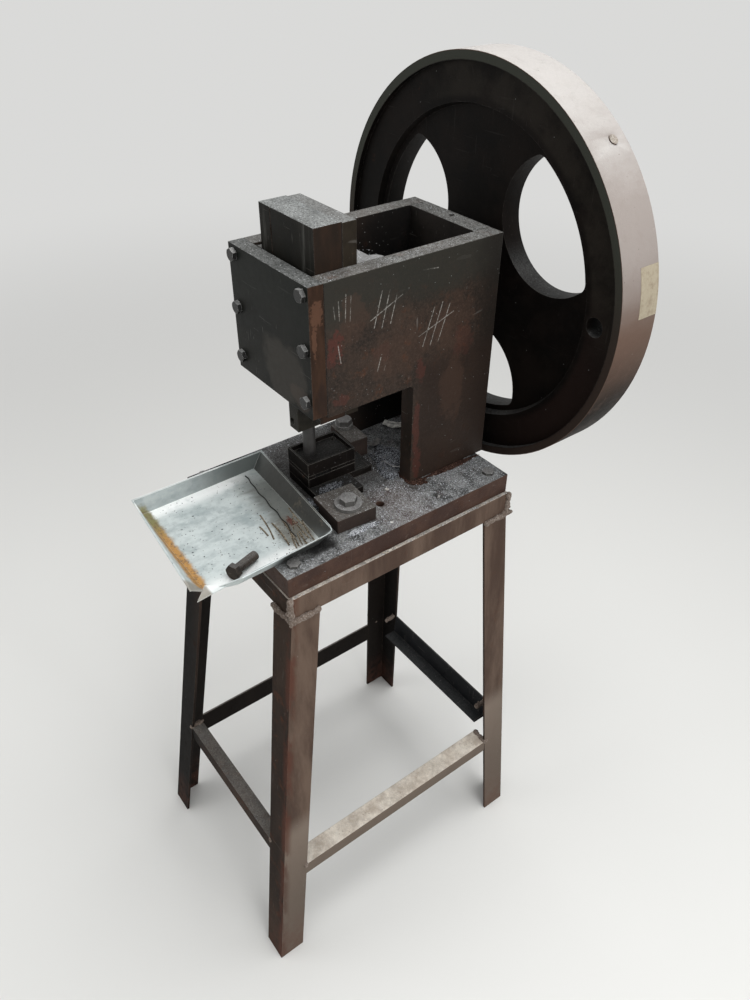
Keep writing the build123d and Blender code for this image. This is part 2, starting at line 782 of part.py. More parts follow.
def make_crank():
    centre = (0, journal_front_y, shaft_height)
    shaft = rod(centre, (0, 1, 0), shaft_diameter, hub_front_y - journal_front_y)
    shaft += rod((0, hub_front_y, shaft_height), (0, 1, 0), seat_diameter, hub_rear_y - hub_front_y)
    shaft += rod((0, hub_rear_y, shaft_height), (0, 1, 0), thread_diameter,
                 shaft_rear_y - hub_rear_y)
    pin_front_y = journal_front_y - pin_length
    shaft += rod((0, pin_front_y, pin_z), (0, 1, 0), pin_diameter, pin_length)
    seat_top = shaft_height + seat_diameter / 2
    key_y = (hub_front_y + hub_rear_y - key_length) / 2
    key_bottom = seat_top - key_sink
    shaft -= block(-key_width / 2, key_width / 2, key_y, key_y + key_length, key_bottom,
                   shaft_height + shaft_diameter / 2)
    write("crankshaft", shaft)
    write("flywheel_key", block(-key_width / 2, key_width / 2, key_y, key_y + key_length,
                                key_bottom, key_bottom + key_height))

    bush_outer = shaft_diameter + 2 * running_clearance + 2 * bush_thickness
    bush_inner = shaft_diameter + 2 * running_clearance
    for name, start_y, length in (
        ("bush_front", guide_front_y, guide_thickness),
        ("bush_rear", rear_front_y, rear_thickness),
    ):
        start = (0, start_y, shaft_height)
        bush = rod(start, (0, 1, 0), bush_outer, length) - rod(start, (0, 1, 0), bush_inner, length)
        write(name, bush - oil_way())

    collar_y = rear_front_y - end_clearance - collar_width
    start = (0, collar_y, shaft_height)
    collar = rod(start, (0, 1, 0), collar_diameter, collar_width)
    collar -= rod(start, (0, 1, 0), shaft_diameter + 2 * seat_clearance, collar_width)
    screw_y = collar_y + collar_width / 2
    outer = (0, screw_y, shaft_height + collar_diameter / 2)
    collar -= rod(outer, (0, 0, -1), collar_screw_diameter + 2 * seat_clearance,
                  (collar_diameter - shaft_diameter) / 2)
    write("thrust_collar", collar)
    length = (collar_diameter - shaft_diameter) / 2 - collar_screw_sink
    write("collar_screw", socket_screw((0, screw_y, shaft_height + shaft_diameter / 2 + length),
                                       (0, 0, -1), collar_screw_diameter, length,
                                       collar_screw_diameter / 2))

    slide = block(-block_width / 2, block_width / 2, block_front_y, block_front_y + block_depth,
                  pin_z - block_height / 2, pin_z + block_height / 2)
    slide -= rod((0, block_front_y, pin_z), (0, 1, 0), pin_diameter + 2 * running_clearance,
                 block_depth)
    write("slide_block", slide)


# Flywheel

def wheel_section():
    """Half of the flywheel's section, radius along X and the shaft's direction along Y."""
    bore = seat_diameter / 2 + seat_clearance
    hub = hub_diameter / 2
    lip = wheel_radius - lip_width
    lip_y = rim_front_y + lip_depth
    rear_lip_y = rim_rear_y - lip_depth
    outline = Polyline(
        (bore, hub_front_y),
        (hub, hub_front_y),
        (hub, web_front_y),
        (rim_inner_radius - rim_draft, web_front_y),
        (rim_inner_radius, lip_y),
        (lip, lip_y),
        (lip, rim_front_y),
        (wheel_radius, rim_front_y),
        (wheel_radius, rim_rear_y),
        (lip, rim_rear_y),
        (lip - rear_lip_draft, web_rear_y + rear_dish_depth),
        (lip - rear_lip_draft - rear_dish_width, web_rear_y),
        (hub, web_rear_y),
        (hub, hub_rear_y),
        (bore, hub_rear_y),
        close=True,
    )
    return make_face(outline)


def window_sketch():
    """One window of the web, a round cut off by the rim, about its middle line along X."""
    reach = rim_inner_radius - window_margin
    face = (Pos(reach - window_set_in, 0) * Circle(window_radius)) & Circle(reach)
    return fillet(face.vertices(), window_fillet)


def make_wheel():
    wheel = Pos(0, 0, shaft_height) * revolve(wheel_section(), Axis.Y)
    web_plane = Plane(origin=(0, web_front_y, shaft_height), x_dir=(1, 0, 0), z_dir=(0, 1, 0))
    for index in range(window_count):
        angle = window_angle + index * 360 / window_count
        outline = web_plane * (Rot(0, 0, -angle) * window_sketch())
        wheel -= extrude(outline, web_thickness)
    handle_x = wheel_radius - handle_hole_inset
    wheel -= rod((handle_x, rim_front_y, shaft_height), (0, 1, 0), handle_hole_diameter, rim_width)
    seat_top = shaft_height + seat_diameter / 2
    key_top = seat_top - key_sink + key_height + seat_clearance
    wheel -= block(-key_width / 2, key_width / 2, hub_front_y, hub_rear_y, shaft_height, key_top)
    angle = math.radians(plug_angle)
    outward = (math.cos(angle), 0, math.sin(angle))
    inward = (-outward[0], 0, -outward[2])
    plug_y = rim_front_y + plug_from_front
    tip_radius = wheel_radius + plug_proud
    tip = (tip_radius * outward[0], plug_y, shaft_height + tip_radius * outward[2])
    wheel -= rod(tip, inward, plug_diameter + 2 * seat_clearance, plug_depth + plug_proud)
    write("flywheel", wheel)
    write("rim_plug", rod(tip, inward, plug_diameter, plug_depth + plug_proud))

    start = (0, hub_rear_y, shaft_height)
    hole = thread_diameter + 2 * seat_clearance
    washer = rod(start, (0, 1, 0), hub_washer_diameter, hub_washer_thickness)
    write("hub_washer", washer - rod(start, (0, 1, 0), hole, hub_washer_thickness))
    write("hub_nut", nut((0, washer_rear_y, shaft_height), (0, 1, 0), hub_nut_flats,
                         hub_nut_height, hole))


# Die set, clamps, tray

die_place = Pos(punch_x, punch_y, 0) * Rot(0, 0, die_turn) * Pos(die_offset_x, die_offset_y, 0)


def make_die():
    """A strip die, fed from the side: shoe, die, two guides and a stripper with a hollow top."""
    half_x = die_width / 2
    half_y = die_length / 2
    channel_front_y = -die_offset_y - strip_width / 2
    channel_rear_y = -die_offset_y + strip_width / 2
    shoe = block(-half_x, half_x, -half_y, half_y + shoe_tongue, 0, shoe_top_z)
    shoe += block(-half_x, half_x + shoe_wing, -half_y, -half_y + shoe_wing_depth, 0, shoe_top_z)
    die = block(-half_x, half_x, -half_y, half_y, shoe_top_z, die_top_z)
    guides = [
        block(-half_x, half_x, -half_y, channel_front_y, die_top_z, strip_top_z),
        block(-half_x, half_x, channel_rear_y, half_y, die_top_z, strip_top_z),
    ]
    stripper = block(-half_x, half_x, -half_y, half_y, strip_top_z, stripper_top_z)
    well_floor_z = stripper_top_z - stripper_well
    stripper -= block(-half_x + stripper_rim, half_x - stripper_rim, -half_y + stripper_rim,
                      half_y - stripper_rim, well_floor_z, stripper_top_z)
    relief = punch_diameter + 2 * die_relief
    under_punch = (-die_offset_x, -die_offset_y, 0)
    shoe -= rod(under_punch, (0, 0, 1), relief, shoe_top_z)
    die -= rod(under_punch, (0, 0, 1), relief, (shoe_top_z + die_top_z) / 2)
    die -= rod(under_punch, (0, 0, 1), punch_diameter + 2 * die_clearance, die_top_z)
    stripper -= rod(under_punch, (0, 0, 1), punch_diameter + 2 * stripper_clearance,
                    stripper_top_z)
    screws = []
    seat = well_floor_z - die_screw_head_height - die_screw_sink
    tip_z = shoe_top_z / 2
    wide = 2 * seat_clearance
    for x in (-half_x + die_screw_inset, half_x - die_screw_inset):
        for y in (-half_y + die_screw_inset, half_y - die_screw_inset):
            hole = rod((x, y, tip_z), (0, 0, 1), die_screw_diameter + wide, seat - tip_z)
            shoe -= hole
            die -= hole
            guides = [each - hole for each in guides]
            stripper -= hole
            stripper -= rod((x, y, seat), (0, 0, 1), die_screw_head + wide, well_floor_z - seat)
            screw = rod((x, y, tip_z + seat_clearance), (0, 0, 1), die_screw_diameter,
                        seat - tip_z)
            screw += rod((x, y, seat), (0, 0, 1), die_screw_head, die_screw_head_height)
            socket = extrude(RegularPolygon(die_screw_socket / 2, 6, major_radius=False),
                             die_screw_head_height / 2)
            top = seat + die_screw_head_height / 2
            screws.append(screw - Pos(x, y, top) * socket)
    write("die_shoe", die_place * shoe)
    write("die_block", die_place * die)
    write("strip_guides", [die_place * each for each in guides])
    write("stripper_plate", die_place * stripper)
    write("die_screws", [die_place * each for each in screws])


def right_strap():
    """The strap beside the die, its left end stepped up onto the shoe's wing."""
    half_x = right_clamp_length / 2
    half_y = right_clamp_width / 2
    strap = block(-half_x, half_x, -half_y, half_y, 0, right_clamp_height)
    return strap - block(-half_x, -half_x + right_clamp_toe, -half_y, half_y, 0, shoe_top_z)


def left_strap():
    """The strap behind the die, its front edge stepped up onto the shoe's tongue."""
    half_x = left_clamp_length / 2
    half_y = left_clamp_width / 2
    strap = block(-half_x, half_x, -half_y, half_y, 0, left_clamp_height)
    return strap - block(-half_x, half_x, -half_y, -half_y + left_clamp_toe, 0, shoe_top_z)


def make_clamps():
    bolts = []
    washers = []
    hole = clamp_bolt_diameter + 2 * seat_clearance
    for side, name, strap, height, across in (
        (1, "clamp_right", right_strap(), right_clamp_height, right_clamp_washer),
        (-1, "clamp_left", left_strap(), left_clamp_height, left_clamp_washer),
    ):
        x, y = clamp_place(side)
        bolt_x, bolt_y = clamp_bolt_place(side)
        strap = Pos(x, y, 0) * Rot(0, 0, clamp_turn) * strap
        write(name, strap - rod((bolt_x, bolt_y, 0), (0, 0, 1), hole, height))
        for layer in range(2):
            seat = (bolt_x, bolt_y, height + layer * clamp_washer_thickness)
            washer = rod(seat, (0, 0, 1), across, clamp_washer_thickness)
            washers.append(washer - rod(seat, (0, 0, 1), hole, clamp_washer_thickness))
        under_head = height + 2 * clamp_washer_thickness
        length = under_head + bed_thickness - clamp_bolt_short
        bolts.append(bolt((bolt_x, bolt_y, under_head), (0, 0, -1), clamp_bolt_diameter, length,
                          clamp_bolt_flats, clamp_bolt_head, turn=clamp_bolt_turn * side))
    write("clamp_washers", washers)
    write("clamp_bolts", bolts)


def tray_cup(inset, bottom_z, top_z):
    """The pan's solid shape between two levels, its outline drawn in by the inset."""
    low = make_face(Polyline(*tray_floor, close=True))
    high = make_face(Polyline(*tray_rim, close=True))
    if inset:
        low = offset(low, -inset, kind=Kind.INTERSECTION)
        high = offset(high, -inset, kind=Kind.INTERSECTION)
    return loft([Pos(0, 0, bottom_z) * low, Pos(0, 0, top_z) * high], ruled=True)


def make_tray():
    """A pan folded from one sheet: leaning walls, one round corner, one pulled down to an ear."""
    outer = tray_cup(0, 0, tray_depth)
    inner = tray_cup(tray_sheet, tray_sheet, tray_depth + tray_sheet)
    rim_x, rim_y = tray_rim[3]
    floor_x, floor_y = tray_floor[3]
    corner = Vector((rim_x + floor_x) / 2, (rim_y + floor_y) / 2, tray_depth / 2)
    outer = fillet(outer.edges().sort_by_distance(corner)[0], tray_corner)
    inner = fillet(inner.edges().sort_by_distance(corner)[0], tray_corner - tray_sheet)
    start = Vector(*tray_rim[1], 0)
    end = Vector(*tray_rim[2], 0)
    along = (end - start).normalized()
    notch_plane = Plane(origin=start, x_dir=along, z_dir=along.cross(Vector(0, 0, 1)))
    width = (end - start).length
    notch = make_face(Polyline(
        (0, tray_depth),
        (width * tray_notch[0], tray_ear_height + tray_sheet),
        (width * tray_notch[1], tray_ear_height + tray_sheet),
        (width, tray_depth),
        (width, 2 * tray_depth),
        (0, 2 * tray_depth),
        close=True,
    ))
    ear = extrude(make_face(Polyline(*tray_ear, close=True)), tray_sheet, dir=(0, 0, 1))
    pan = outer - inner
    pan -= extrude(notch_plane * notch, tray_depth, both=True)
    pan += Pos(0, 0, tray_ear_height) * ear
    write("tray", pan)


def make_loose_bolt():
    """A bolt lying in the tray on the edge of its head and the end of its shank."""
    head_radius = loose_bolt_flats / 2
    shank_radius = loose_bolt_diameter / 2
    tilt = math.atan2(head_radius - shank_radius, loose_bolt_length)
    piece = bolt((0, 0, 0), (1, 0, 0), loose_bolt_diameter, loose_bolt_length, loose_bolt_flats,
                 loose_bolt_head, turn=30)
    height = tray_sheet + head_radius * math.cos(tilt)
    lying = Pos(loose_bolt_x, loose_bolt_y, height) * Rot(0, 0, loose_bolt_turn)
    write("loose_bolt", lying * Rot(0, math.degrees(tilt), 0) * piece)


make_stand()
make_bed()
make_head()
make_gib()
make_ram()
make_crank()
make_wheel()
make_die()
make_clamps()
make_tray()
make_loose_bolt()
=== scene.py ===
import math
import random

import bmesh
import bpy
from mathutils import Matrix, Vector, noise


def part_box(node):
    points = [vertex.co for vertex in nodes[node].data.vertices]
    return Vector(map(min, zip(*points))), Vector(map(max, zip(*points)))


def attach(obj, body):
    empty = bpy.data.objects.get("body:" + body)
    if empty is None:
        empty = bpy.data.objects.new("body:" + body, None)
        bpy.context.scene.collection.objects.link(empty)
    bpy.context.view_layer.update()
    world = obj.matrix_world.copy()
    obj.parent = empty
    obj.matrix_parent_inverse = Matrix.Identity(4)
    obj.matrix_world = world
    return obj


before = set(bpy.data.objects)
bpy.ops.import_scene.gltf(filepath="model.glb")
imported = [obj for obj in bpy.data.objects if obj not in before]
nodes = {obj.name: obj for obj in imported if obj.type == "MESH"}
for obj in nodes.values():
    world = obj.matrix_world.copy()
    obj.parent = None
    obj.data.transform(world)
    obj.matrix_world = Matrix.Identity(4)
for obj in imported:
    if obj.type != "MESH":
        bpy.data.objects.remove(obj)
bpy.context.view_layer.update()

scene = bpy.context.scene
mm = 0.001  # in metres
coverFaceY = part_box("front_cover")[0][1]
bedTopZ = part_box("bed_plate")[1][2]
print("frame loaded:", len(nodes), "nodes")


def link(name, data):
    thing = bpy.data.objects.new(name, data)
    scene.collection.objects.link(thing)
    return thing


def press(x, y, z):
    # millimetres right of the shaft, behind the cover's face and above the bed, in the frame's metres
    return Vector((x * mm, coverFaceY + y * mm, bedTopZ + z * mm))


# Shader maths

class Wire:
    # one output of a node, so that shader maths reads as plain Python
    def __init__(self, nodeTree, socket):
        self.nodeTree = nodeTree
        self.socket = socket

    def maths(self, operation, a, b=0.0):
        return self.nodeTree.node("ShaderNodeMath", {"operation": operation}, {0: a, 1: b})

    def __add__(self, other):
        return self.maths("ADD", self, other)

    def __sub__(self, other):
        return self.maths("SUBTRACT", self, other)

    def __mul__(self, other):
        return self.maths("MULTIPLY", self, other)

    def __truediv__(self, other):
        return self.maths("DIVIDE", self, other)

    def __pow__(self, other):
        return self.maths("POWER", self, other)

    def __rsub__(self, other):
        return self.maths("SUBTRACT", other, self)

    __radd__ = __add__
    __rmul__ = __mul__

    def __abs__(self):
        return self.maths("ABSOLUTE", self)

    def least(self, other):
        return self.maths("MINIMUM", self, other)

    def most(self, other):
        return self.maths("MAXIMUM", self, other)

    def other(self, name):
        return Wire(self.nodeTree, self.socket.node.outputs[name])


class NodeTree:
    # the nodes of a material or of the world
    def __init__(self, owner):
        owner.use_nodes = True
        self.tree = owner.node_tree
        self.tree.nodes.clear()

    def node(self, kind, settings=None, sockets=None, output=0):
        made = self.tree.nodes.new(kind)
        for key, value in (settings or {}).items():
            setattr(made, key, value)
        for key, value in (sockets or {}).items():
            socket = made.inputs[key]
            if isinstance(value, Wire):
                self.tree.links.new(value.socket, socket)
            elif socket.type == "RGBA" and len(value) == 3:
                socket.default_value = (*value, 1)
            else:
                socket.default_value = value
        return Wire(self, made.outputs[output]) if made.outputs else None

    def lookedAt(self):
        # 1 for the camera and for reflections, 0 for light on its way to the object
        seen = self.node("ShaderNodeLightPath", output="Is Camera Ray")
        return seen.most(seen.other("Is Glossy Ray"))


class Finish(NodeTree):
    # one material, built from the surface's own coordinates
    def __init__(self, name):
        self.material = bpy.data.materials.new(name)
        super().__init__(self.material)
        self.place = self.node("ShaderNodeTexCoord", output="Object")
        # x, y and z are millimetres from the shaft's plane, the cover's face and the bed's top
        scale = 1 / mm
        inPress = self.node("ShaderNodeVectorMath", {"operation": "MULTIPLY_ADD"}, {
            0: self.place, 1: (scale, scale, scale), 2: (0, -scale * coverFaceY, -scale * bedTopZ)})
        axes = self.node("ShaderNodeSeparateXYZ", None, {0: inPress})
        self.x, self.y, self.z = axes, axes.other("Y"), axes.other("Z")
        facing = self.node("ShaderNodeSeparateXYZ", None, {0: self.place.other("Normal")})
        self.facingX, self.facingY, self.facingZ = facing, facing.other("Y"), facing.other("Z")

    def noise(self, size, detail=4.0, roughness=0.55, stretch=(1, 1, 1), shift=0.0):
        # cloudy 0 to 1, its lumps about size metres; stretch above 1 squeezes them along an axis
        at = self.node("ShaderNodeMapping", None, {
            "Vector": self.place, "Location": (shift, shift * 0.7, -shift), "Scale": stretch})
        return self.node("ShaderNodeTexNoise", None, {
            "Vector": at, "Scale": 1 / size, "Detail": detail, "Roughness": roughness})

    def fade(self, value, low, high):
        # 0 at low and 1 at high, whichever is the greater
        return self.node("ShaderNodeMapRange", {"interpolation_type": "SMOOTHSTEP"}, {
            "Value": value, "From Min": low, "From Max": high})

    def patches(self, low, high, *cloud, **shift):
        # 0 where the noise is below low, 1 where it is above high
        return self.fade(self.noise(*cloud, **shift), low, high)

    def band(self, value, low, high, soft):
        # 1 between low and high, with soft ends
        return self.fade(value, low - soft, low + soft) * self.fade(value, high + soft, high - soft)

    def towards(self, facing, way=1):
        # 1 on faces that look along an axis, or against it where way is -1
        return self.fade(facing, way * 0.5, way * 0.9)

    def mix(self, a, b, share):
        return self.node("ShaderNodeMix", {"data_type": "RGBA"}, {0: share, 6: a, 7: b}, 2)

    def lay(self, tone, share):
        # one more layer over the colours so far
        self.colour = self.mix(self.colour, tone, share)

    def specks(self, spacing, size, share):
        # small round dots in a share of the cells of a grid
        dots = self.node("ShaderNodeTexVoronoi", None, {"Vector": self.place, "Scale": 1 / spacing})
        chance = self.node("ShaderNodeSeparateColor", None, {0: dots.other("Color")})
        reach = size / spacing
        return self.fade(dots, reach, reach * 0.55) * self.fade(chance, share, share * 0.8)

    def edges(self, radius, low=0.985, high=0.85):
        # 1 on sharp edges, from the difference between the rounded and the flat normal
        rounded = self.node("ShaderNodeBevel", {"samples": 6}, {"Radius": radius})
        flat = self.node("ShaderNodeNewGeometry", output="Normal")
        return self.fade(self.vector("DOT_PRODUCT", rounded, flat), low, high)

    def blotch(self, centre, radii, ragged=1.2, size=0.02):
        # a ragged patch about a place in the press, None where an axis has no part in it
        reach = self.noise(size, 6, 0.65, shift=centre[-1] * 0.01) * (2 * ragged) - ragged
        for axis, middle, radius in zip((self.x, self.y, self.z), centre, radii):
            if radius is not None:
                offset = (axis - middle) / radius
                reach = reach + offset * offset
        return self.fade(reach, 1.15, 0.55)

    def vector(self, operation, a, b):
        # a vector sum that ends in one number
        return self.node("ShaderNodeVectorMath", {"operation": operation}, {0: a, 1: b}, "Value")

    def stroke(self, start, end, width, plane=(0, 1, 1)):
        # a straight mark between two places in the press, flattened to the plane it is drawn in
        here = self.node("ShaderNodeCombineXYZ", None, {
            "X": self.x * plane[0], "Y": self.y * plane[1], "Z": self.z * plane[2]})
        first, along = Vector(start), Vector(end) - Vector(start)
        toHere = self.node("ShaderNodeVectorMath", {"operation": "SUBTRACT"}, {0: here, 1: first})
        share = (self.vector("DOT_PRODUCT", toHere, along) / along.length_squared).most(0.0).least(1.0)
        nearest = self.node("ShaderNodeVectorMath", {"operation": "SCALE"}, {0: along, "Scale": share})
        return self.fade(self.vector("DISTANCE", toHere, nearest), width, width * 0.4)

    def shader(self, colour, roughness=0.6, metallic=0.0, height=None, depth=0.0003, shine=0.5):
        sockets = {
            "Base Color": colour, "Roughness": roughness, "Metallic": metallic, "Specular IOR Level": shine}
        if height is not None:
            sockets["Normal"] = self.node("ShaderNodeBump", None, {
                "Strength": 1.0, "Distance": depth, "Height": height})
        return self.node("ShaderNodeBsdfPrincipled", None, sockets)

    def give(self, surface):
        # the material with this surface
        self.node("ShaderNodeOutputMaterial", None, {"Surface": surface})
        return self.material


# Finishes

paleTone = (0.36, 0.37, 0.37)
wornTone = (0.22, 0.205, 0.19)
blackTone = (0.007, 0.0065, 0.006)


def layDust(f, look):
    # grey dust on whatever faces up, heavier in places, with sparkling grains
    up = f.fade(f.facingZ, 0.4, 0.9)
    thick = f.patches(0.2, 0.65, 0.05, 5, shift=1.7)
    grains = (1 - look["grains"]) + look["grains"] * f.patches(0.42, 0.56, 0.0026, 3, 0.85)
    share = up * (0.45 + 0.55 * thick) * grains * look["dust"]
    fine = f.patches(0.5, 0.68, 0.003, 4, 0.8, shift=4.1)
    f.lay(f.mix(look["dustTone"], paleTone, fine), share)
    smudge = f.patches(0.56, 0.72, 0.014, 7, 0.75, shift=6.4)
    f.lay((0.03, 0.03, 0.028), up * smudge * min(look["dust"], 0.6))
    f.lay((0.6, 0.62, 0.63), f.specks(0.0042, 0.0008, 0.38) * up * min(look["dust"], 0.9))
    return share


# What a steel looks like where its own entry in looks says nothing else
plainLook = {
    "stretch": (1, 1, 1), "scratches": 0.2, "specks": 0.12, "gloss": 0.48, "shine": 0.15, "relief": 0.0005,
    "rust": 0.2, "rustTone": (0.11, 0.046, 0.024), "streaks": 0.08, "streakTone": wornTone,
    "edge": 0.5, "edgeWidth": 0.0018, "edgeTone": wornTone,
    "dust": 0.8, "grains": 0.55, "dustTone": (0.24, 0.245, 0.24),
}


def agedSteel(name, look):
    # clouds of a dark and a mid tone under rust, streaks, scratches, the piece's own marks, wear and dust
    f = Finish(name)
    clouds = f.noise(0.08, 6, 0.62, look["stretch"])
    mottle = f.noise(0.012, 8, 0.72, shift=3.0)
    grain = f.noise(0.0017, 4, 0.7)
    f.colour = f.mix(look["dark"], look["mid"], f.fade(clouds + mottle * 0.5, 0.58, 0.94))
    rusty = f.fade(f.noise(0.026, 8, 0.68, shift=9.0) + look["rust"] * 0.5, 0.66, 0.8)
    f.lay(look["rustTone"], rusty * 0.75)
    f.lay(blackTone, f.fade(mottle, 0.52, 0.78) * 0.55)
    hung = f.noise(0.006, 5, 0.6, (1, 1, 0.05), 2.0)
    f.lay(look["streakTone"], f.fade(hung, 0.6, 0.8) * look["streaks"])
    scratches = (f.patches(0.7, 0.735, 0.004, 2, 0.5, (0.05, 1, 1), 15.2)
                 + f.patches(0.71, 0.745, 0.004, 2, 0.5, (1, 0.3, 0.06), 16.4)
                 + f.patches(0.71, 0.745, 0.0035, 2, 0.5, (1, 0.05, 0.25), 17.3))
    f.lay(wornTone, scratches * look["scratches"])
    if "paint" in look:
        look["paint"](f)
    f.lay(paleTone, f.specks(0.011, 0.0007, look["specks"]) * 0.65)
    # pale edges: wear, and on the cover bolts a painted highlight
    edge = f.edges(look["edgeWidth"]) * f.patches(0.34, 0.66, 0.007, 6, 0.72, shift=8.0)
    f.lay(look["edgeTone"], edge * look["edge"])
    dusty = layDust(f, look)
    roughness = (look["gloss"] + 0.26 * mottle + 0.35 * dusty + 0.12 * rusty).least(0.96)
    height = mottle * 0.5 + grain * 0.35 + dusty * 0.5 + rusty * 0.3 - scratches * 0.25
    return f.give(f.shader(f.colour, roughness, 0.0, height, look["relief"], look["shine"]))


# Marks of the right side plate, in the press's millimetres behind the cover and above the bed
sideMarks = {
    "bandFromTop": (291, 338),
    "primerTone": (0.075, 0.023, 0.0165),
    # middle, half width and height, and strength
    "primer": [
        (40, 283, 13, 24, 0.7), (30, 262, 6, 12, 0.4), (48, 198, 14, 9, 0.45), (190, 200, 9, 20, 0.45),
        (186, 100, 7, 46, 0.5), (190, 36, 8, 34, 0.5), (272, 226, 18, 28, 0.22), (120, 250, 18, 13, 0.15)],
    "brownPatches": [
        (70, 315, 26, 34, 0.35), (255, 150, 26, 60, 0.35), (250, 260, 45, 45, 0.3), (150, 240, 60, 40, 0.3)],
    "chalk": [
        ((58, 352), (56, 306)), ((66, 348), (64, 312)), ((38, 340), (40, 322)), ((46, 345), (47, 318)),
        ((44, 283), (48, 256)), ((104, 292), (117, 342)), ((117, 288), (130, 340)), ((132, 291), (143, 334)),
        ((98, 304), (152, 328)), ((186, 354), (214, 351)), ((192, 238), (211, 294)), ((206, 236), (226, 298)),
        ((221, 238), (240, 292)), ((184, 256), (248, 278)), ((110, 224), (116, 244)), ((122, 222), (128, 242))],
    "chalkWidth": 1.0,
}


def paintSide(f):
    outside = f.towards(f.facingX) * f.fade(f.x, 60, 80)
    wander = (f.noise(0.05, 6, 0.6, shift=11.0) - 0.5) * 90
    low, high = sideMarks["bandFromTop"]
    band = f.fade(f.z + wander, low, high)
    speckled = f.patches(0.44, 0.62, 0.005, 6, 0.85, shift=12.5)
    f.lay((0.07, 0.046, 0.034), speckled * outside * 0.45)
    f.lay((0.021, 0.0205, 0.0165), band * outside * 0.85)
    rear = f.fade(f.y + wander * 0.6, 268, 330)
    f.lay((0.009, 0.007, 0.0055), rear * outside * 0.8)
    column = f.fade(f.z, 240, 190) * f.fade(f.y, 170, 200)
    f.lay((0.019, 0.0112, 0.008), column * outside * 0.72)
    for y, z, wide, tall, share in sideMarks["brownPatches"]:
        f.lay((0.062, 0.034, 0.023), f.blotch((0, y, z), (None, wide, tall), 2.0) * outside * share)
    for y, z, wide, tall, share in sideMarks["primer"]:
        f.lay(sideMarks["primerTone"], f.blotch((0, y, z), (None, wide, tall), 2.4, 0.011) * outside * share)
    broken = f.patches(0.36, 0.56, 0.0028, 4, 0.8, shift=2.6)
    chalk = None
    for start, end in sideMarks["chalk"]:
        mark = f.stroke((0, *start), (0, *end), sideMarks["chalkWidth"])
        chalk = mark if chalk is None else chalk.most(mark)
    patchy = f.patches(0.3, 0.55, 0.03, 3, shift=6.6)
    f.lay((0.34, 0.33, 0.305), chalk * broken * patchy * outside * 0.75)
    seam = f.band(f.y, 23.2, 24.9, 0.3)
    f.lay(blackTone, seam * outside * 0.9)


def paintInside(f):
    # the left plate's inner face, with pale specks, and painted shade that turns it black towards the back
    inner = f.towards(f.facingX)
    # painted shade deep inside the box, towards the back
    deep = f.fade(f.y + (f.noise(0.04, 6, 0.65) - 0.5) * 120, 150, 250)
    f.lay((0.03, 0.025, 0.021), inner * (1 - deep) * f.patches(0.4, 0.65, 0.02, 8, 0.75) * 0.8)
    f.lay((0.004, 0.004, 0.004), inner * deep * 0.9)
    dots = f.specks(0.006, 0.0011, 0.35) + f.patches(0.66, 0.74, 0.004, 4, 0.8)
    near = f.band(f.y, 150, 260, 30)
    f.lay((0.3, 0.3, 0.29), dots.least(1.0) * near * inner * 0.7)


def paintCover(f):
    # greenish black above, a greyer rubbed patch low down, and a rusty right edge
    front = f.towards(f.facingY, -1)
    rubbed = f.blotch((28, 0, 232), (56, None, 52), 1.1, 0.06)
    f.lay((0.036, 0.032, 0.027), rubbed * front * 0.8)
    f.lay((0.06, 0.045, 0.036), f.blotch((70, 0, 205), (26, None, 20), 1.3, 0.02) * front * 0.5)
    f.lay((0.007, 0.0085, 0.0068), f.fade(f.z, 270, 350) * front * 0.8)
    side = f.towards(f.facingX)
    cloudy = f.patches(0.35, 0.65, 0.02, 6, 0.65, (1, 1, 0.3))
    f.lay(f.mix((0.02, 0.0095, 0.005), (0.043, 0.02, 0.0108), cloudy), side * 0.92)
    chipped = f.blotch((0, 11, 336), (None, 10, 18), 2.6, 0.009)
    chipped = (chipped + f.blotch((0, 7, 300), (None, 4, 26), 2.4, 0.008)).least(1.0)
    f.lay((0.115, 0.056, 0.034), chipped * side * 0.6)
    f.lay((0.02, 0.011, 0.008), f.blotch((0, 16, 210), (None, 8, 30), 1.2, 0.014) * side * 0.5)
    f.lay(blackTone, f.fade(f.y, 23.0, 23.9) * side * 0.9)


def paintRam(f):
    # pale runs on the dark front face, brown on the right
    front = f.towards(f.facingY, -1)
    runs = f.patches(0.5, 0.72, 0.008, 4, 0.6, (1, 1, 0.07), 1.1)
    near = f.band(f.x, -56, -38, 6) + f.band(f.x, 42, 60, 8) * 0.8
    f.lay((0.11, 0.11, 0.1), runs * near.least(1.0) * front * 0.55)
    side = f.towards(f.facingX)
    cloudy = f.patches(0.35, 0.65, 0.03, 6, 0.6, (1, 1, 0.25))
    f.lay(f.mix((0.015, 0.0095, 0.0065), (0.032, 0.0165, 0.01), cloudy), side * 0.93)
    f.lay(blackTone, f.fade(f.y, 71.5, 73.2) * side * 0.9)


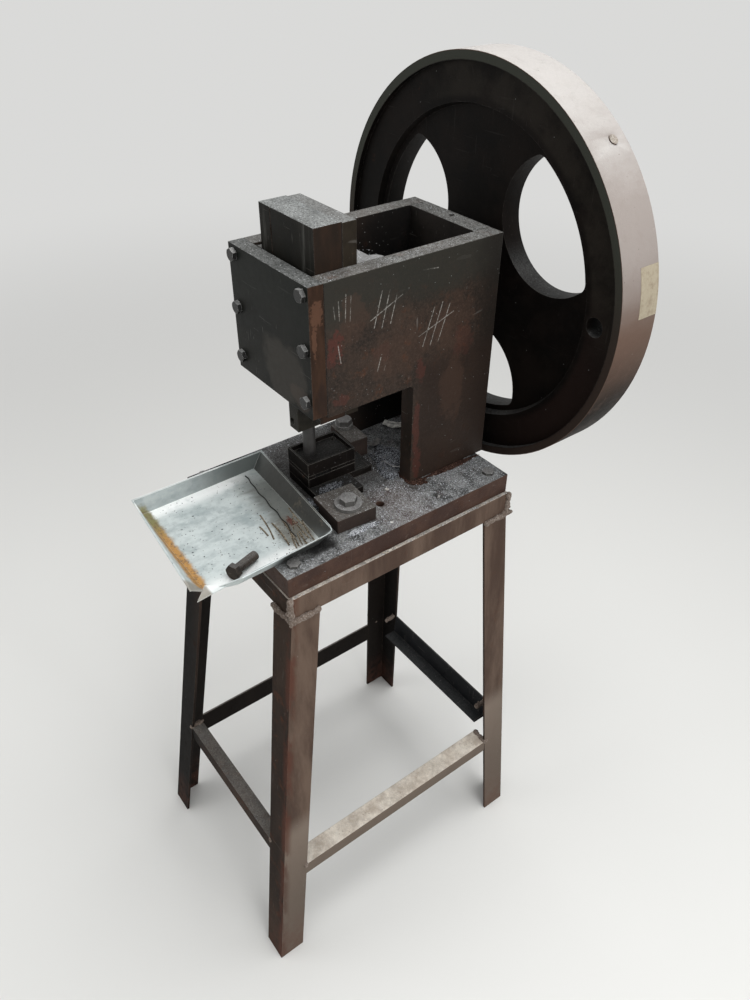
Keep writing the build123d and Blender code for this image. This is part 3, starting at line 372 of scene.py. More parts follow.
def paintWheel(f):
    # the rim: painted shade darkens it on faces turned down and towards the left, it is pale on top from dust
    # and painted light, and brown low on the right; the inside is near black
    height = f.z - wheelPlaces["centreZ"]
    radius = (f.x * f.x + height * height) ** 0.5
    rim = f.fade(radius, 308.6, 309.4)
    wander = (f.noise(0.05, 6, 0.65, (1, 0.5, 1), 5.5) - 0.5) * 0.5
    turned = f.facingZ + wander * 0.3
    # painted shade: the rim darker on faces turned down; paler on faces turned up, from dust and painted light
    outer = f.mix((0.009, 0.0065, 0.0048), (0.127, 0.082, 0.062), f.fade(turned, -0.45, 0.02))
    outer = f.mix(outer, (0.3, 0.265, 0.245), f.fade(turned, -0.04, 0.38))
    outer = f.mix(outer, (0.5, 0.48, 0.46), f.fade(f.facingZ + wander, 0.5, 0.95) * 0.8)
    # painted shade: the rim near black towards the left
    outer = f.mix(outer, (0.006, 0.005, 0.0045), f.fade(f.x, -40, -200))
    brown = f.patches(0.5, 0.7, 0.02, 8, 0.7, shift=4.4)
    outer = f.mix(outer, (0.15, 0.095, 0.075), brown * (0.1 + 0.16 * f.fade(turned, 0.3, -0.3)))
    outer = f.mix(outer, (0.1, 0.07, 0.06), f.specks(0.011, 0.0011, 0.3) * 0.6)
    f.lay(outer, rim)
    # the lip: brown low down, greenish higher up as a painted sheen
    lip = f.band(radius, 297.5, 308.8, 0.8) * f.towards(f.facingY, -1)
    f.lay(f.mix((0.03, 0.021, 0.017), (0.036, 0.038, 0.031), f.fade(height + wander * 120, -60, 150)), lip)
    brushed = f.noise(0.012, 5, 0.6, (0.25, 1, 0.25), 2.2)
    face = f.band(radius, 250, 297, 5) * f.towards(f.facingY, -1)
    crescent = f.fade(height + f.x * 0.75 + wander * 60, 80, 260)
    f.lay((0.026, 0.022, 0.0175), face * crescent * f.fade(brushed, 0.3, 0.6) * 0.45)
    f.lay((0.014, 0.0075, 0.006), face * f.fade(f.x, 60, 200) * (1 - crescent) * 0.7)
    chip = f.fade(radius, 306.8, 307.6) * f.fade(f.y - wheelPlaces["frontY"], 3.2, 1.6)
    chip = chip * f.patches(0.42, 0.56, 0.02, 5, 0.7, shift=7.7)
    right = f.fade(f.x, 0, 160)
    f.lay((0.32, 0.3, 0.27), chip * right * 0.65)


def paintBed(f):
    # heavy speckled dust on top, painted shade under the head, rusty red edges
    up = f.towards(f.facingZ)
    # painted shade: the dusty top is darkened under the head
    under = f.band(f.y, -20, 176, 22) * f.band(f.x, -115, 62, 20)
    shadeUnderHead = f.mix(blackTone, (0.06, 0.05, 0.045), f.noise(0.01, 6, 0.7))
    swarf = f.patches(0.47, 0.6, 0.0028, 3, 0.9, shift=3.3)
    drift = f.patches(0.33, 0.6, 0.03, 7, 0.7, shift=1.1)
    patches = f.patches(0.55, 0.68, 0.02, 6, 0.7, shift=9.7)
    brownish = (f.band(f.y, 86, 165, 30) * f.fade(f.x, 60, 110) + patches * 0.6).least(1.0)
    deep = f.mix((0.018, 0.0175, 0.017), (0.078, 0.08, 0.081), drift)
    deep = f.mix(deep, (0.07, 0.042, 0.034), brownish * 0.7)
    bright = f.fade(f.x, 70, 150)
    blue = f.mix(deep, (0.34, 0.35, 0.355), swarf * (0.3 + 0.7 * drift) * (0.75 + 0.25 * bright))
    blue = f.mix(blue, (0.3, 0.305, 0.3), bright * drift * 0.3)
    blue = f.mix(blue, (0.75, 0.77, 0.8), f.specks(0.0052, 0.0009, 0.2) * 0.85)
    f.lay(f.mix(blue, shadeUnderHead, under * 0.55), up)
    # painted shadow on the bed under the tray's edge
    shadowUnderTray = f.fade(f.x, 164, 152) * f.band(f.y, -50, 0, 12)
    shadowUnderTray = shadowUnderTray * f.patches(0.25, 0.45, 0.02, 7, 0.75, shift=8.1)
    f.lay((0.009, 0.0085, 0.008), shadowUnderTray * up * 0.93)
    cloudy = f.patches(0.35, 0.65, 0.05, 6, 0.6, shift=2.9)
    edge = f.mix((0.064, 0.034, 0.024), (0.036, 0.018, 0.0135), cloudy)
    chips = f.patches(0.6, 0.68, 0.014, 7, 0.75, (1, 1, 1.4), 6.1)
    edge = f.mix(edge, (0.13, 0.095, 0.078), chips * 0.5)
    f.lay(edge, (1 - up) * 0.9)


standMarks = {
    # the front right leg's corner at its top and foot, and a yellow smear by that foot
    "corner": ((183, -105, -75), (231, -213, -900)),
    "streakTone": (0.085, 0.029, 0.018),
    "streakWidth": 17,
    "smear": (201, -208, -745),
    "smearSize": (8, 12, 26),
    "smearTone": (0.19, 0.13, 0.035),
}


def paintStand(f):
    # painted light makes right faces paler than left ones, and painted shade makes the legs at the back left
    # nearly black
    # painted light: faces turned to the right are paler
    pale = f.fade(f.facingX, 0.5, 0.95)
    cloudy = f.patches(0.35, 0.65, 0.05, 7, 0.65, (1, 1, 0.2), 1.9)
    f.lay(f.mix((0.07, 0.044, 0.033), (0.15, 0.104, 0.078), cloudy), pale * 0.8)
    up = f.towards(f.facingZ)
    flour = f.patches(0.4, 0.6, 0.003, 4, 0.85, shift=7.3)
    patches = 0.45 + 0.55 * f.patches(0.35, 0.6, 0.02, 6, 0.7)
    bar = f.fade(f.x, 168, 186) * f.fade(f.z, -500, -560)
    ledge = f.fade(f.z, -120, -60)
    thick = f.mix((0.26, 0.22, 0.18), (0.66, 0.6, 0.52), flour)
    soft = f.mix((0.5, 0.42, 0.34), (0.8, 0.73, 0.63), f.patches(0.35, 0.62, 0.03, 7, 0.75, shift=3.8))
    soft = f.mix(soft, (0.2, 0.13, 0.09), f.specks(0.007, 0.0013, 0.4) * 0.8)
    thick = f.mix(thick, soft, bar)
    # painted light on the right stretcher's faces turned to the right
    f.lay((0.23, 0.185, 0.15), bar * pale * 0.8)
    f.lay(thick, up * patches.most(bar * 0.95) * (0.16 + 0.84 * bar.most(ledge)))
    # painted shade: legs and bars at the left are nearly black
    shadeOnLeft = f.fade(f.x, -60, -150) * (1 - up)
    f.lay((0.0022, 0.0018, 0.0015), shadeOnLeft * 0.95)
    low = f.fade(f.z, -760, -890) * f.patches(0.35, 0.6, 0.02, 6, 0.7, shift=5.1)
    # a red streak down the front right leg
    top, foot = standMarks["corner"]
    fall = (f.z - top[2]) / (top[2] - foot[2])
    corner = abs(f.x - (top[0] - fall * (foot[0] - top[0]))) + abs(f.y - (fall * (top[1] - foot[1]) + top[1]))
    torn = f.patches(0.38, 0.55, 0.03, 6, 0.7, (1, 1, 0.3), 4.7)
    streak = f.fade(corner, standMarks["streakWidth"], 3) * torn * (1 - up)
    f.lay(standMarks["streakTone"], streak * 0.75)
    f.lay(standMarks["smearTone"], f.blotch(standMarks["smear"], standMarks["smearSize"], 2.0, 0.01) * 0.8)
    # the painted light on right faces is weaker lower down
    f.lay((0.062, 0.047, 0.037), f.fade(f.z, -420, -780) * f.fade(f.x, 0, 60) * pale * 0.6)
    f.lay((0.1, 0.042, 0.028), low * 0.4)


def paintTool(f):
    edge = f.edges(0.0012, 0.99, 0.9) * f.patches(0.3, 0.5, 0.008, 5, 0.6)
    f.lay((0.19, 0.18, 0.16), edge * 0.7)


wheelPlaces = {
    "frontY": (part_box("flywheel")[0][1] - coverFaceY) / mm,
    "centreZ": (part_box("flywheel")[0][2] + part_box("flywheel")[1][2] - 2 * bedTopZ) / 2 / mm,
}

railsLegsAndStretchers = [
    "rail_front", "rail_right", "rail_rear", "rail_left", "leg_front_right", "leg_front_left", "leg_rear_right",
    "leg_rear_left", "stretcher_right", "stretcher_front", "stretcher_left"]

looks = {
    "side": {
        "pieces": ["side_plate_right"], "paint": paintSide,
        "dark": (0.014, 0.0105, 0.0082), "mid": (0.037, 0.0235, 0.017), "rust": 0.22, "dust": 0.9,
        "grains": 0.75, "dustTone": (0.2, 0.2, 0.19), "scratches": 0.3, "edge": 0.35, "specks": 0.16,
        "relief": 0.0007, "rustTone": (0.068, 0.028, 0.0145)},
    "cover": {
        "pieces": ["front_cover"], "paint": paintCover,
        "dark": (0.0045, 0.005, 0.004), "mid": (0.012, 0.0115, 0.0096), "shine": 0.11, "rust": 0.0, "dust": 0.9,
        "gloss": 0.36, "grains": 0.75, "dustTone": (0.18, 0.185, 0.18), "streaks": 0.04, "edge": 0.3,
        "specks": 0.05, "relief": 0.0003},
    "plate": {
        "pieces": ["rear_plate", "wear_plate", "gib_strip", "gib_nuts", "thrust_collar"],
        "dark": (0.009, 0.008, 0.007), "mid": (0.02, 0.0165, 0.014), "rust": 0.1, "dust": 0.9, "grains": 0.75,
        "dustTone": (0.2, 0.2, 0.19), "edge": 0.3},
    "ram": {
        "pieces": ["ram"], "paint": paintRam,
        "dark": (0.005, 0.0048, 0.0038), "mid": (0.012, 0.011, 0.0085), "rust": 0.05, "dust": 0.95,
        "gloss": 0.42, "streaks": 0.1, "edge": 0.4, "relief": 0.0004, "shine": 0.1,
        "dustTone": (0.27, 0.28, 0.275)},
    "yoke": {
        "pieces": ["ram_yoke_plate", "slide_block"],
        "dark": (0.0105, 0.0072, 0.004), "mid": (0.021, 0.015, 0.0088), "rust": 0.1, "dust": 0.85, "edge": 0.4},
    "guide": {
        "pieces": ["guide_plate"],
        "dark": (0.03, 0.027, 0.024), "mid": (0.06, 0.055, 0.05), "rust": 0.1, "dust": 1.0, "grains": 0.3,
        "dustTone": (0.3, 0.3, 0.3)},
    "wheel": {
        "pieces": ["flywheel"], "paint": paintWheel,
        "dark": (0.0022, 0.0017, 0.0014), "mid": (0.0066, 0.0046, 0.0037), "rust": 0.0, "dust": 0.2,
        "gloss": 0.44, "streaks": 0.02, "edge": 0.2, "specks": 0.1, "relief": 0.0006, "scratches": 0.03,
        "shine": 0.07},
    "bed": {
        "pieces": ["bed_plate"], "paint": paintBed,
        "dark": (0.03, 0.019, 0.015), "mid": (0.06, 0.038, 0.03), "rust": 0.3, "dust": 0.0, "edge": 0.75,
        "edgeTone": (0.24, 0.2, 0.175), "relief": 0.001},
    "stand": {
        "pieces": ["rim_plug"] + railsLegsAndStretchers, "paint": paintStand,
        "dark": (0.016, 0.0095, 0.0065), "mid": (0.04, 0.025, 0.0175), "shine": 0.1, "rust": 0.22, "dust": 0.35,
        "stretch": (1, 1, 0.25), "streaks": 0.12, "streakTone": (0.12, 0.09, 0.07), "edge": 0.7,
        "edgeTone": (0.22, 0.165, 0.135), "relief": 0.0008, "gloss": 0.6, "rustTone": (0.075, 0.031, 0.018)},
    # painted shade: the rear stretcher is near black, with a little dust on its flange
    "blackBar": {
        "pieces": ["stretcher_rear"],
        "dark": (0.004, 0.0045, 0.0055), "mid": (0.011, 0.0115, 0.013), "rust": 0.0, "dust": 0.12, "edge": 0.3},
    "tool": {
        "pieces": ["die_shoe", "die_block", "strip_guides", "stripper_plate", "die_screws"], "paint": paintTool,
        "dark": (0.0032, 0.0025, 0.0022), "mid": (0.0095, 0.0072, 0.006), "rust": 0.05, "dust": 0.14,
        "gloss": 0.4, "edge": 0.1, "shine": 0.08},
    "holder": {
        "pieces": ["punch_holder", "holder_screws"],
        "dark": (0.0075, 0.0066, 0.0048), "mid": (0.022, 0.0195, 0.0145), "rust": 0.05, "dust": 0.2,
        "gloss": 0.4, "edgeTone": (0.14, 0.15, 0.12)},
    "clamp": {
        "pieces": ["clamp_right", "clamp_left"],
        "dark": (0.016, 0.012, 0.0105), "mid": (0.034, 0.0235, 0.0195), "rust": 0.1, "grains": 0.5, "edge": 0.4,
        "edgeTone": (0.16, 0.135, 0.12), "dustTone": (0.15, 0.142, 0.13), "rustTone": (0.05, 0.024, 0.017)},
    "hardware": {
        "pieces": ["clamp_bolts", "clamp_washers", "bed_bolts", "bed_nuts", "hub_nut", "hub_washer"],
        "dark": (0.024, 0.023, 0.021), "mid": (0.075, 0.072, 0.068), "rust": 0.02, "dust": 0.75, "gloss": 0.36,
        "edge": 0.8, "edgeTone": (0.36, 0.35, 0.33), "dustTone": (0.26, 0.255, 0.25), "shine": 0.5},
    # on the cover bolts the pale edges are painted highlights, and the pale dust on their tops is partly a
    # painted highlight
    "coverBolt": {
        "pieces": ["cover_bolts", "wear_plate_screws", "yoke_screws", "collar_screw"],
        "dark": (0.003, 0.003, 0.0028), "mid": (0.009, 0.0088, 0.008), "rust": 0.0, "dust": 0.7, "grains": 0.3,
        "gloss": 0.3, "edge": 1.0, "edgeWidth": 0.0011, "edgeTone": (0.6, 0.6, 0.58), "shine": 0.4,
        "dustTone": (0.42, 0.42, 0.41)},
    "looseBolt": {
        "pieces": ["loose_bolt", "gib_screws"],
        "dark": (0.01, 0.0075, 0.006), "mid": (0.045, 0.034, 0.027), "dust": 0.3, "edge": 0.7,
        "edgeWidth": 0.0006, "edgeTone": (0.26, 0.235, 0.21)},
    "bright": {
        "pieces": ["crankshaft", "punch", "bush_front", "bush_rear", "flywheel_key"],
        "dark": (0.016, 0.0155, 0.015), "mid": (0.05, 0.048, 0.046), "rust": 0.0, "dust": 0.2, "gloss": 0.28,
        "edgeTone": (0.36, 0.35, 0.33), "shine": 0.5},
}
looks["inside"] = {**looks["side"], "pieces": ["side_plate_left"], "paint": paintInside}


def dress(finish, names):
    for name in names:
        mesh = nodes[name].data
        mesh.materials.clear()
        mesh.materials.append(finish)


finishes = {}
for name, look in looks.items():
    finishes[name] = agedSteel(name + "Steel", {**plainLook, **look})
    dress(finishes[name], look["pieces"])
print("finishes made:", len(finishes))


# Broken edges: every sawn or cast edge is slightly rounded, by its width in metres

edgeWidths = {
    0.0012: ["side_plate_right", "side_plate_left", "rear_plate", "guide_plate", "bed_plate", "clamp_right",
             "clamp_left", "ram", "ram_yoke_plate"],
    0.0008: ["front_cover", "stretcher_rear", "punch_holder"] + railsLegsAndStretchers,
    0.0005: ["die_shoe", "die_block", "strip_guides", "stripper_plate"],
    0.0003: ["cover_bolts", "clamp_bolts", "bed_bolts", "loose_bolt", "hub_nut"],
    0.0025: ["flywheel"],
}
edgeBreaking = {
    "weldWithin": 0.00001,
    "flatDegrees": 0.5,
    "sharpDegrees": 32,
    "segments": 2,
    # these have small faces round their holes, which would cross if the rounding weren't held back
    "heldBack": edgeWidths[0.0003] + edgeWidths[0.0005] + edgeWidths[0.0025],
}


def breakEdges(name, width):
    held = name in edgeBreaking["heldBack"]
    weld = nodes[name].modifiers.new("weld", "WELD")
    weld.merge_threshold = edgeBreaking["weldWithin"]
    if not held:
        flat = nodes[name].modifiers.new("flat", "DECIMATE")
        flat.decimate_type = "DISSOLVE"
        flat.angle_limit = math.radians(edgeBreaking["flatDegrees"])
    bevel = nodes[name].modifiers.new("brokenEdge", "BEVEL")
    bevel.width = width
    bevel.segments = edgeBreaking["segments"]
    bevel.limit_method = "ANGLE"
    bevel.angle_limit = math.radians(edgeBreaking["sharpDegrees"])
    bevel.use_clamp_overlap = held


for width, names in edgeWidths.items():
    for name in names:
        breakEdges(name, width)
print("edges broken")


# Loose and rough pieces that the frame doesn't carry: welds, swarf, chips, tape and threads

def addObject(name, data, body="frame"):
    piece = link(name, data)
    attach(piece, body)
    return piece


def makeAll(what, table, make):
    for name, values in table.items():
        make(name, *values)
    print(what, "made:", len(table))


def everything(bm):
    return bm.verts[:] + bm.edges[:] + bm.faces[:]


def makeGrid(bm, across=1, along=1, size=1):
    # a flat square about the origin, in across by along faces
    return bmesh.ops.create_grid(bm, x_segments=across, y_segments=along, size=size / 2)["verts"]


def addPiece(name, bm, finish, body="frame", smooth=False):
    bmesh.ops.recalc_face_normals(bm, faces=bm.faces[:])
    for face in bm.faces:
        face.smooth = smooth
    mesh = bpy.data.meshes.new(name)
    bm.to_mesh(mesh)
    bm.free()
    mesh.materials.append(finish)
    return addObject(name, mesh, body)


def crumbFinish(name, dark, pale, share, relief=0.0006):
    # crumbs of metal and dirt, pale grains in a dark mass
    f = Finish(name)
    grains = f.noise(0.0022, 4, 0.85)
    lumps = f.noise(0.014, 6, 0.7)
    colour = f.mix(dark, pale, f.fade(grains + lumps * 0.25, share, share + 0.12))
    return f.give(f.shader(colour, 0.9, 0.0, grains * 0.5 + lumps, relief, 0.12))


crumbs = {
    "swarf": crumbFinish("swarfDust", (0.018, 0.018, 0.02), (0.28, 0.295, 0.32), 0.585),
    "rust": crumbFinish("rustCrumbs", (0.022, 0.011, 0.008), (0.12, 0.07, 0.052), 0.63),
    "grey": crumbFinish("greyCrumbs", (0.1, 0.105, 0.115), (0.6, 0.62, 0.65), 0.58),
    "weld": crumbFinish("weldSteel", (0.13, 0.1, 0.082), (0.27, 0.23, 0.2), 0.6, 0.0004),
}

welds = {
    "beadRadius": 5.2,
    "beadSpread": (0.7, 1.15),
    "step": 3.4,
    "wander": 0.8,
    "spatter": 4.6,
    "spatterSpread": (0.3, 0.7),
    "meltTo": 0.0013,
    "lines": {
        "legFrontRightFront": ((136, -107, -76), (184, -107, -76)),
        "legFrontRightSide": ((185, -105, -76), (185, -58, -76)),
        "legRearRightSide": ((185, 276, -76), (185, 322, -76)),
        "legRearRightRear": ((136, 325, -76), (184, 325, -76)),
        "legFrontLeftFront": ((-134, -107, -76), (-88, -107, -76)),
        "legFrontLeftSide": ((-136, -104, -76), (-136, -58, -76)),
        "legRearLeftSide": ((-136, 276, -76), (-136, 322, -76)),
        "legRearLeftRear": ((-134, 325, -76), (-88, 325, -76)),
        "stretcherRightFront": ((188, -135, -660), (216, -135, -660)),
        "stretcherRightRear": ((188, 312, -660), (216, 312, -660)),
        "stretcherFrontRight": ((166, -172, -606), (166, -152, -606)),
        "stretcherFrontLeft": ((-142, -172, -606), (-142, -152, -606)),
        "stretcherRearRight": ((167, 330, -608), (167, 354, -608)),
        "stretcherRearLeft": ((-144, 330, -608), (-144, 354, -608)),
        "stretcherLeftFront": ((-216, -155, -652), (-192, -155, -652)),
        "stretcherLeftRear": ((-216, 334, -652), (-192, 334, -652)),
        "railCornerFront": ((183, -105, -74), (183, -105, -38)),
        "railCornerRear": ((183, 323, -74), (183, 323, -38)),
    },
}


def makeWeld(name, start, end):
    # overlapping blobs along the joint, melted into one
    rng = random.Random(name)
    bm = bmesh.new()
    start, end = press(*start), press(*end)
    count = max(2, round((end - start).length / (welds["step"] * mm)))
    for number in range(count + 1):
        radius = welds["beadRadius"] * mm * rng.uniform(*welds["beadSpread"])
        place = start.lerp(end, number / count)
        place += Vector([rng.uniform(-1, 1) * mm * welds["wander"] for axis in range(3)])
        bmesh.ops.create_icosphere(bm, subdivisions=2, radius=radius, matrix=Matrix.Translation(place))
        beside = place + Vector([rng.uniform(-1, 1) * mm * welds["spatter"] for axis in range(3)])
        bmesh.ops.create_icosphere(bm, subdivisions=2, radius=radius * rng.uniform(*welds["spatterSpread"]),
                                   matrix=Matrix.Translation(beside))
    bead = addPiece("weld" + name[0].upper() + name[1:], bm, crumbs["weld"], smooth=True)
    melt = bead.modifiers.new("melt", "REMESH")
    melt.mode = "VOXEL"
    melt.voxel_size = welds["meltTo"]
    melt.use_smooth_shade = True


makeAll("welds", welds["lines"], makeWeld)

heaps = {
    # centre, half width, half depth and height in millimetres, roughness of the outline, crumbs
    "heapBehindDie": ((26, 196, 0), (40, 30, 7), 0.3, "swarf"),
    "heapByDie": ((56, 166, 0), (22, 14, 6), 0.4, "swarf"),
    "heapOnShoe": ((50, 60, 13), (11, 20, 3), 0.4, "swarf"),
    "heapAtColumn": ((88, 182, 0), (20, 8, 3), 0.45, "rust"),
    "heapAtCorner": ((107, 194, 0), (8, 14, 2.5), 0.5, "rust"),
    "heapAlongFoot": ((105, 262, 0), (6, 54, 2.5), 0.5, "rust"),
    "heapByClamp": ((149, 50, 0), (6, 30, 2), 0.6, "grey"),
    "heapUnderTray": ((60, 20, 0), (30, 6, 3), 0.5, "swarf"),
}
# how often the outline and the top go in and out, coarse and fine, and how round the top is
heapLumps = {"outline": (2.2, 7), "top": (5, 16), "dome": 1.3}


def makeHeap(name, centre, radii, ragged, kind):
    bm = bmesh.new()
    bmesh.ops.create_icosphere(bm, subdivisions=5, radius=1)
    bmesh.ops.bisect_plane(bm, geom=everything(bm), plane_co=(0, 0, 0), plane_no=(0, 0, -1), clear_outer=True)
    bmesh.ops.holes_fill(bm, edges=[edge for edge in bm.edges if edge.is_boundary])
    seat = press(*centre)
    (wide, narrow), (coarse, fine) = heapLumps["outline"], heapLumps["top"]
    for vertex in bm.verts:
        x, y, z = vertex.co
        around = Vector((x, y, centre[0] * 0.1))
        spread = 1 + ragged * (noise.noise(around * wide) + 0.5 * noise.noise(around * narrow))
        rise = 1 + ragged * (noise.noise(around * coarse) + 0.8 * noise.noise(around * fine))
        rise *= max(z, 0) ** heapLumps["dome"]
        vertex.co = seat + Vector((x * radii[0] * spread, y * radii[1] * spread, rise * radii[2])) * mm
    addPiece(name, bm, crumbs[kind], smooth=True)


makeAll("heaps", heaps, makeHeap)

chipFields = {
    # area as left, right, front, rear, the height it lies at, how many, size in millimetres, crumbs, body
    "chipsBedRight": ((102, 175, 88, 320), 0, 1500, (0.5, 1.5), "grey"),
    "chipsBedMiddle": ((-60, 100, 118, 192), 0, 700, (0.5, 1.7), "grey"),
    "chipsBedFront": ((144, 175, -98, 90), 0, 500, (0.5, 1.4), "grey"),
    "chipsBedLeft": ((-126, -102, 18, 316), 0, 160, (0.5, 1.6), "grey"),
    "chipsOnShoe": ((38, 72, 32, 100), 13, 90, (0.5, 1.6), "swarf"),
    "chipsOnClamp": ((70, 112, 14, 80), 24, 40, (0.4, 1.0), "grey"),
    "chipsOnSide": ((74, 98, 28, 330), 375, 220, (0.4, 1.0), "grey"),
    "chipsOnLedge": ((178.5, 182.5, -104, 322), -35, 420, (0.4, 1.2), "grey"),
    "chipsOnLeftSide": ((-98, -74, 28, 330), 375, 80, (0.4, 1.1), "swarf"),
    "chipsOnRear": ((-70, 70, 306, 332), 375, 60, (0.4, 1.1), "grey"),
    "chipsOnCover": ((-97, 97, 2, 22), 375, 60, (0.4, 1.0), "swarf"),
    "chipsOnGuide": ((-70, 70, 102, 139), 375, 120, (0.4, 1.2), "grey"),
    "chipsOnRam": ((-57, 68, 33, 71), 434.5, 90, (0.4, 1.1), "swarf", "ram"),
    "chipsInTray": ((-74, 134, -196, -20), 1.2, 220, (0.5, 1.7), "swarf"),
    "grainsInTray": ((60, 134, -80, -20), 1.2, 60, (0.5, 1.5), "rust"),
}
# footprints that chips don't lie under, as left, right, front and rear
clampAndHole = [(106, 124, 97, 115), (98, 145, -175, -105)]
keepClear = [(-31, 78, 26, 153), (-75, -5, 137, 179), (63, 144, 8, 86), (-92, 157, -232, 18)] + clampAndHole
chipShape = {
    "length": (0.6, 1.8), "width": (0.4, 1.0), "thickness": (0.25, 0.6), "taper": (0.3, 0.9),
    "tilt": 0.25, "sunk": 0.18, "skip": 0.2,
}


def makeChips(name, area, seat, count, sizes, kind, body="frame"):
    rng = random.Random(name)
    bm = bmesh.new()
    left, right, front, rear = area
    clear = keepClear if seat == 0 else clampAndHole
    placed = 0
    while placed < count:
        x, y = rng.uniform(left, right), rng.uniform(front, rear)
        if any(a < x < b and c < y < d for a, b, c, d in clear):
            placed += chipShape["skip"]  # so that a covered area ends too
            continue
        size = rng.uniform(*sizes) * rng.uniform(0.6, 1.0)
        turn = Matrix.Rotation(rng.uniform(0, math.tau), 4, "Z")
        flat = [rng.uniform(*chipShape[side]) for side in ("length", "width", "thickness")]
        place = Matrix.Translation(press(x, y, seat + size * chipShape["sunk"]))
        tilt = Matrix.Rotation(rng.uniform(-chipShape["tilt"], chipShape["tilt"]), 4, "X")
        corners = rng.choice((3, 4, 5))
        size *= mm
        bmesh.ops.create_cone(bm, cap_ends=True, segments=corners, radius1=size,
                              radius2=size * rng.uniform(*chipShape["taper"]), depth=size,
                              matrix=place @ turn @ tilt @ Matrix.Diagonal(flat + [1]))
        placed += 1
    addPiece(name, bm, crumbs[kind], body=body)


makeAll("chips", chipFields, makeChips)

turnings = {
    # place and radius
    "curls": [(20, 160, 9, 3.0), (38, 168, 10, 2.4), (52, 160, 7, 2.8), (10, 172, 8, 2.2), (66, 172, 4, 2.4),
              (112, 120, 0, 2.0), (135, 150, 0, 1.6), (60, 165, 7, 2.0), (28, 180, 8, 2.2)],
    "thickness": 0.25,
    "widthPerRadius": 0.7,
    "pitchPerRadius": 0.03,
    "turn": (1.8, 4.5),
    "steps": 14,
}


def makeTurnings():
    # small curled turnings: a ribbon spun part of a turn about its own axis
    bm = bmesh.new()
    rng = random.Random("turnings")
    for x, y, z, radius in turnings["curls"]:
        part = bmesh.new()
        makeGrid(part)
        width = radius * turnings["widthPerRadius"]
        bmesh.ops.scale(part, vec=(turnings["thickness"], width, 1), verts=part.verts)
        bmesh.ops.translate(part, vec=(radius, 0, 0), verts=part.verts)
        bmesh.ops.spin(part, geom=everything(part), cent=(0, 0, 0), axis=(0, 1, 0),
                       angle=rng.uniform(*turnings["turn"]), steps=turnings["steps"],
                       dvec=(0, radius * turnings["pitchPerRadius"], 0))
        turn = Matrix.Rotation(rng.uniform(0, math.tau), 4, "Z")
        bmesh.ops.transform(part, verts=part.verts, matrix=Matrix.Translation(
            press(x, y, z + radius)) @ turn @ Matrix.Scale(mm, 4))
        mesh = bpy.data.meshes.new("curl")
        part.to_mesh(mesh)
        part.free()
        bm.from_mesh(mesh)
        bpy.data.meshes.remove(mesh)
    addPiece("turnings", bm, finishes["bright"], smooth=True)


makeTurnings()

scraps = {
    # place, length, width, turn in degrees, curl and tone
    "whiteScrap": ((-52, 262, 2), 34, 17, 35, 5, (0.62, 0.61, 0.57)),
    "scrapByWasher": ((-20, 196, 6), 26, 12, 100, 4, (0.13, 0.125, 0.12)),
    "flakeAtFoot": ((114, 174, 1), 15, 6, 20, 1.5, (0.06, 0.055, 0.05)),
    "flakeAlongFoot": ((111, 206, 1), 11, 5, 75, 1.2, (0.1, 0.09, 0.08)),
    "flakeOnBed": ((157, 190, 1), 8, 4, 130, 1, (0.3, 0.29, 0.28)),
    "chipByHole": ((94, 136, 2), 6, 5, 10, 1.5, (0.6, 0.58, 0.54)),
    "chipOnBed": ((163, 92, 1), 5, 4, 60, 1, (0.66, 0.65, 0.62)),
    "sliverInThroat": ((60, 188, 6), 26, 2.5, 65, 3, (0.42, 0.42, 0.41)),
    "sliverByDie": ((46, 178, 6), 22, 2, 15, 3, (0.25, 0.25, 0.25)),
    "shavingOnLedge": ((180, 76, -34), 10, 2.5, 88, 2.5, (0.6, 0.56, 0.48)),
    "shavingByRail": ((181, 66, -34), 8, 2, 60, 2, (0.4, 0.35, 0.28)),
}
scrapShape = {"torn": 0.35, "arch": 2.8, "buckle": 0.5, "thickness": 0.4}


def makeScrap(name, place, length, width, turn, curl, tone):
    # a thin flake, bent a little and given a torn edge
    f = Finish(name + "Finish")
    stains = f.patches(0.42, 0.62, 0.006, 6, 0.7)
    finish = f.give(f.shader(f.mix(tone, tuple(0.45 * part for part in tone), stains), 0.7))
    bm = bmesh.new()
    makeGrid(bm, 10, 4)
    for vertex in bm.verts:
        x, y, z = vertex.co
        torn = 1 + scrapShape["torn"] * noise.noise(Vector((x * 3, y * 5, length)))
        buckle = scrapShape["buckle"] * noise.noise(Vector((x * 4, y * 4, turn)))
        lift = max(curl * (scrapShape["arch"] * x * x + buckle), -scrapShape["thickness"])
        vertex.co = Vector((x * length, y * width * torn, lift)) * mm
    bmesh.ops.solidify(bm, geom=bm.faces[:], thickness=scrapShape["thickness"] * mm)
    seat = Matrix.Translation(press(*place)) @ Matrix.Rotation(math.radians(turn), 4, "Z")
    bmesh.ops.transform(bm, verts=bm.verts, matrix=seat)
    addPiece(name, bm, finish)


makeAll("scraps", scraps, makeScrap)

tape = {
    "fromDegrees": 4,
    "toDegrees": 17,
    "front": 394,
    "rear": 430.6,
    "thickness": 0.5,
    "proud": 0.3,
    "steps": 10,
}


def tapeFinish():
    f = Finish("rimTapePaper")
    creases = f.noise(0.004, 6, 0.7, (0.3, 1, 1))
    dirt = f.patches(0.45, 0.68, 0.012, 8, 0.75, shift=3.1)
    colour = f.mix((0.3, 0.255, 0.175), (0.4, 0.35, 0.265), creases)
    colour = f.mix(colour, (0.2, 0.15, 0.1), dirt * 0.7)
    return f.give(f.shader(colour, 0.7, 0.0, creases, 0.0004))


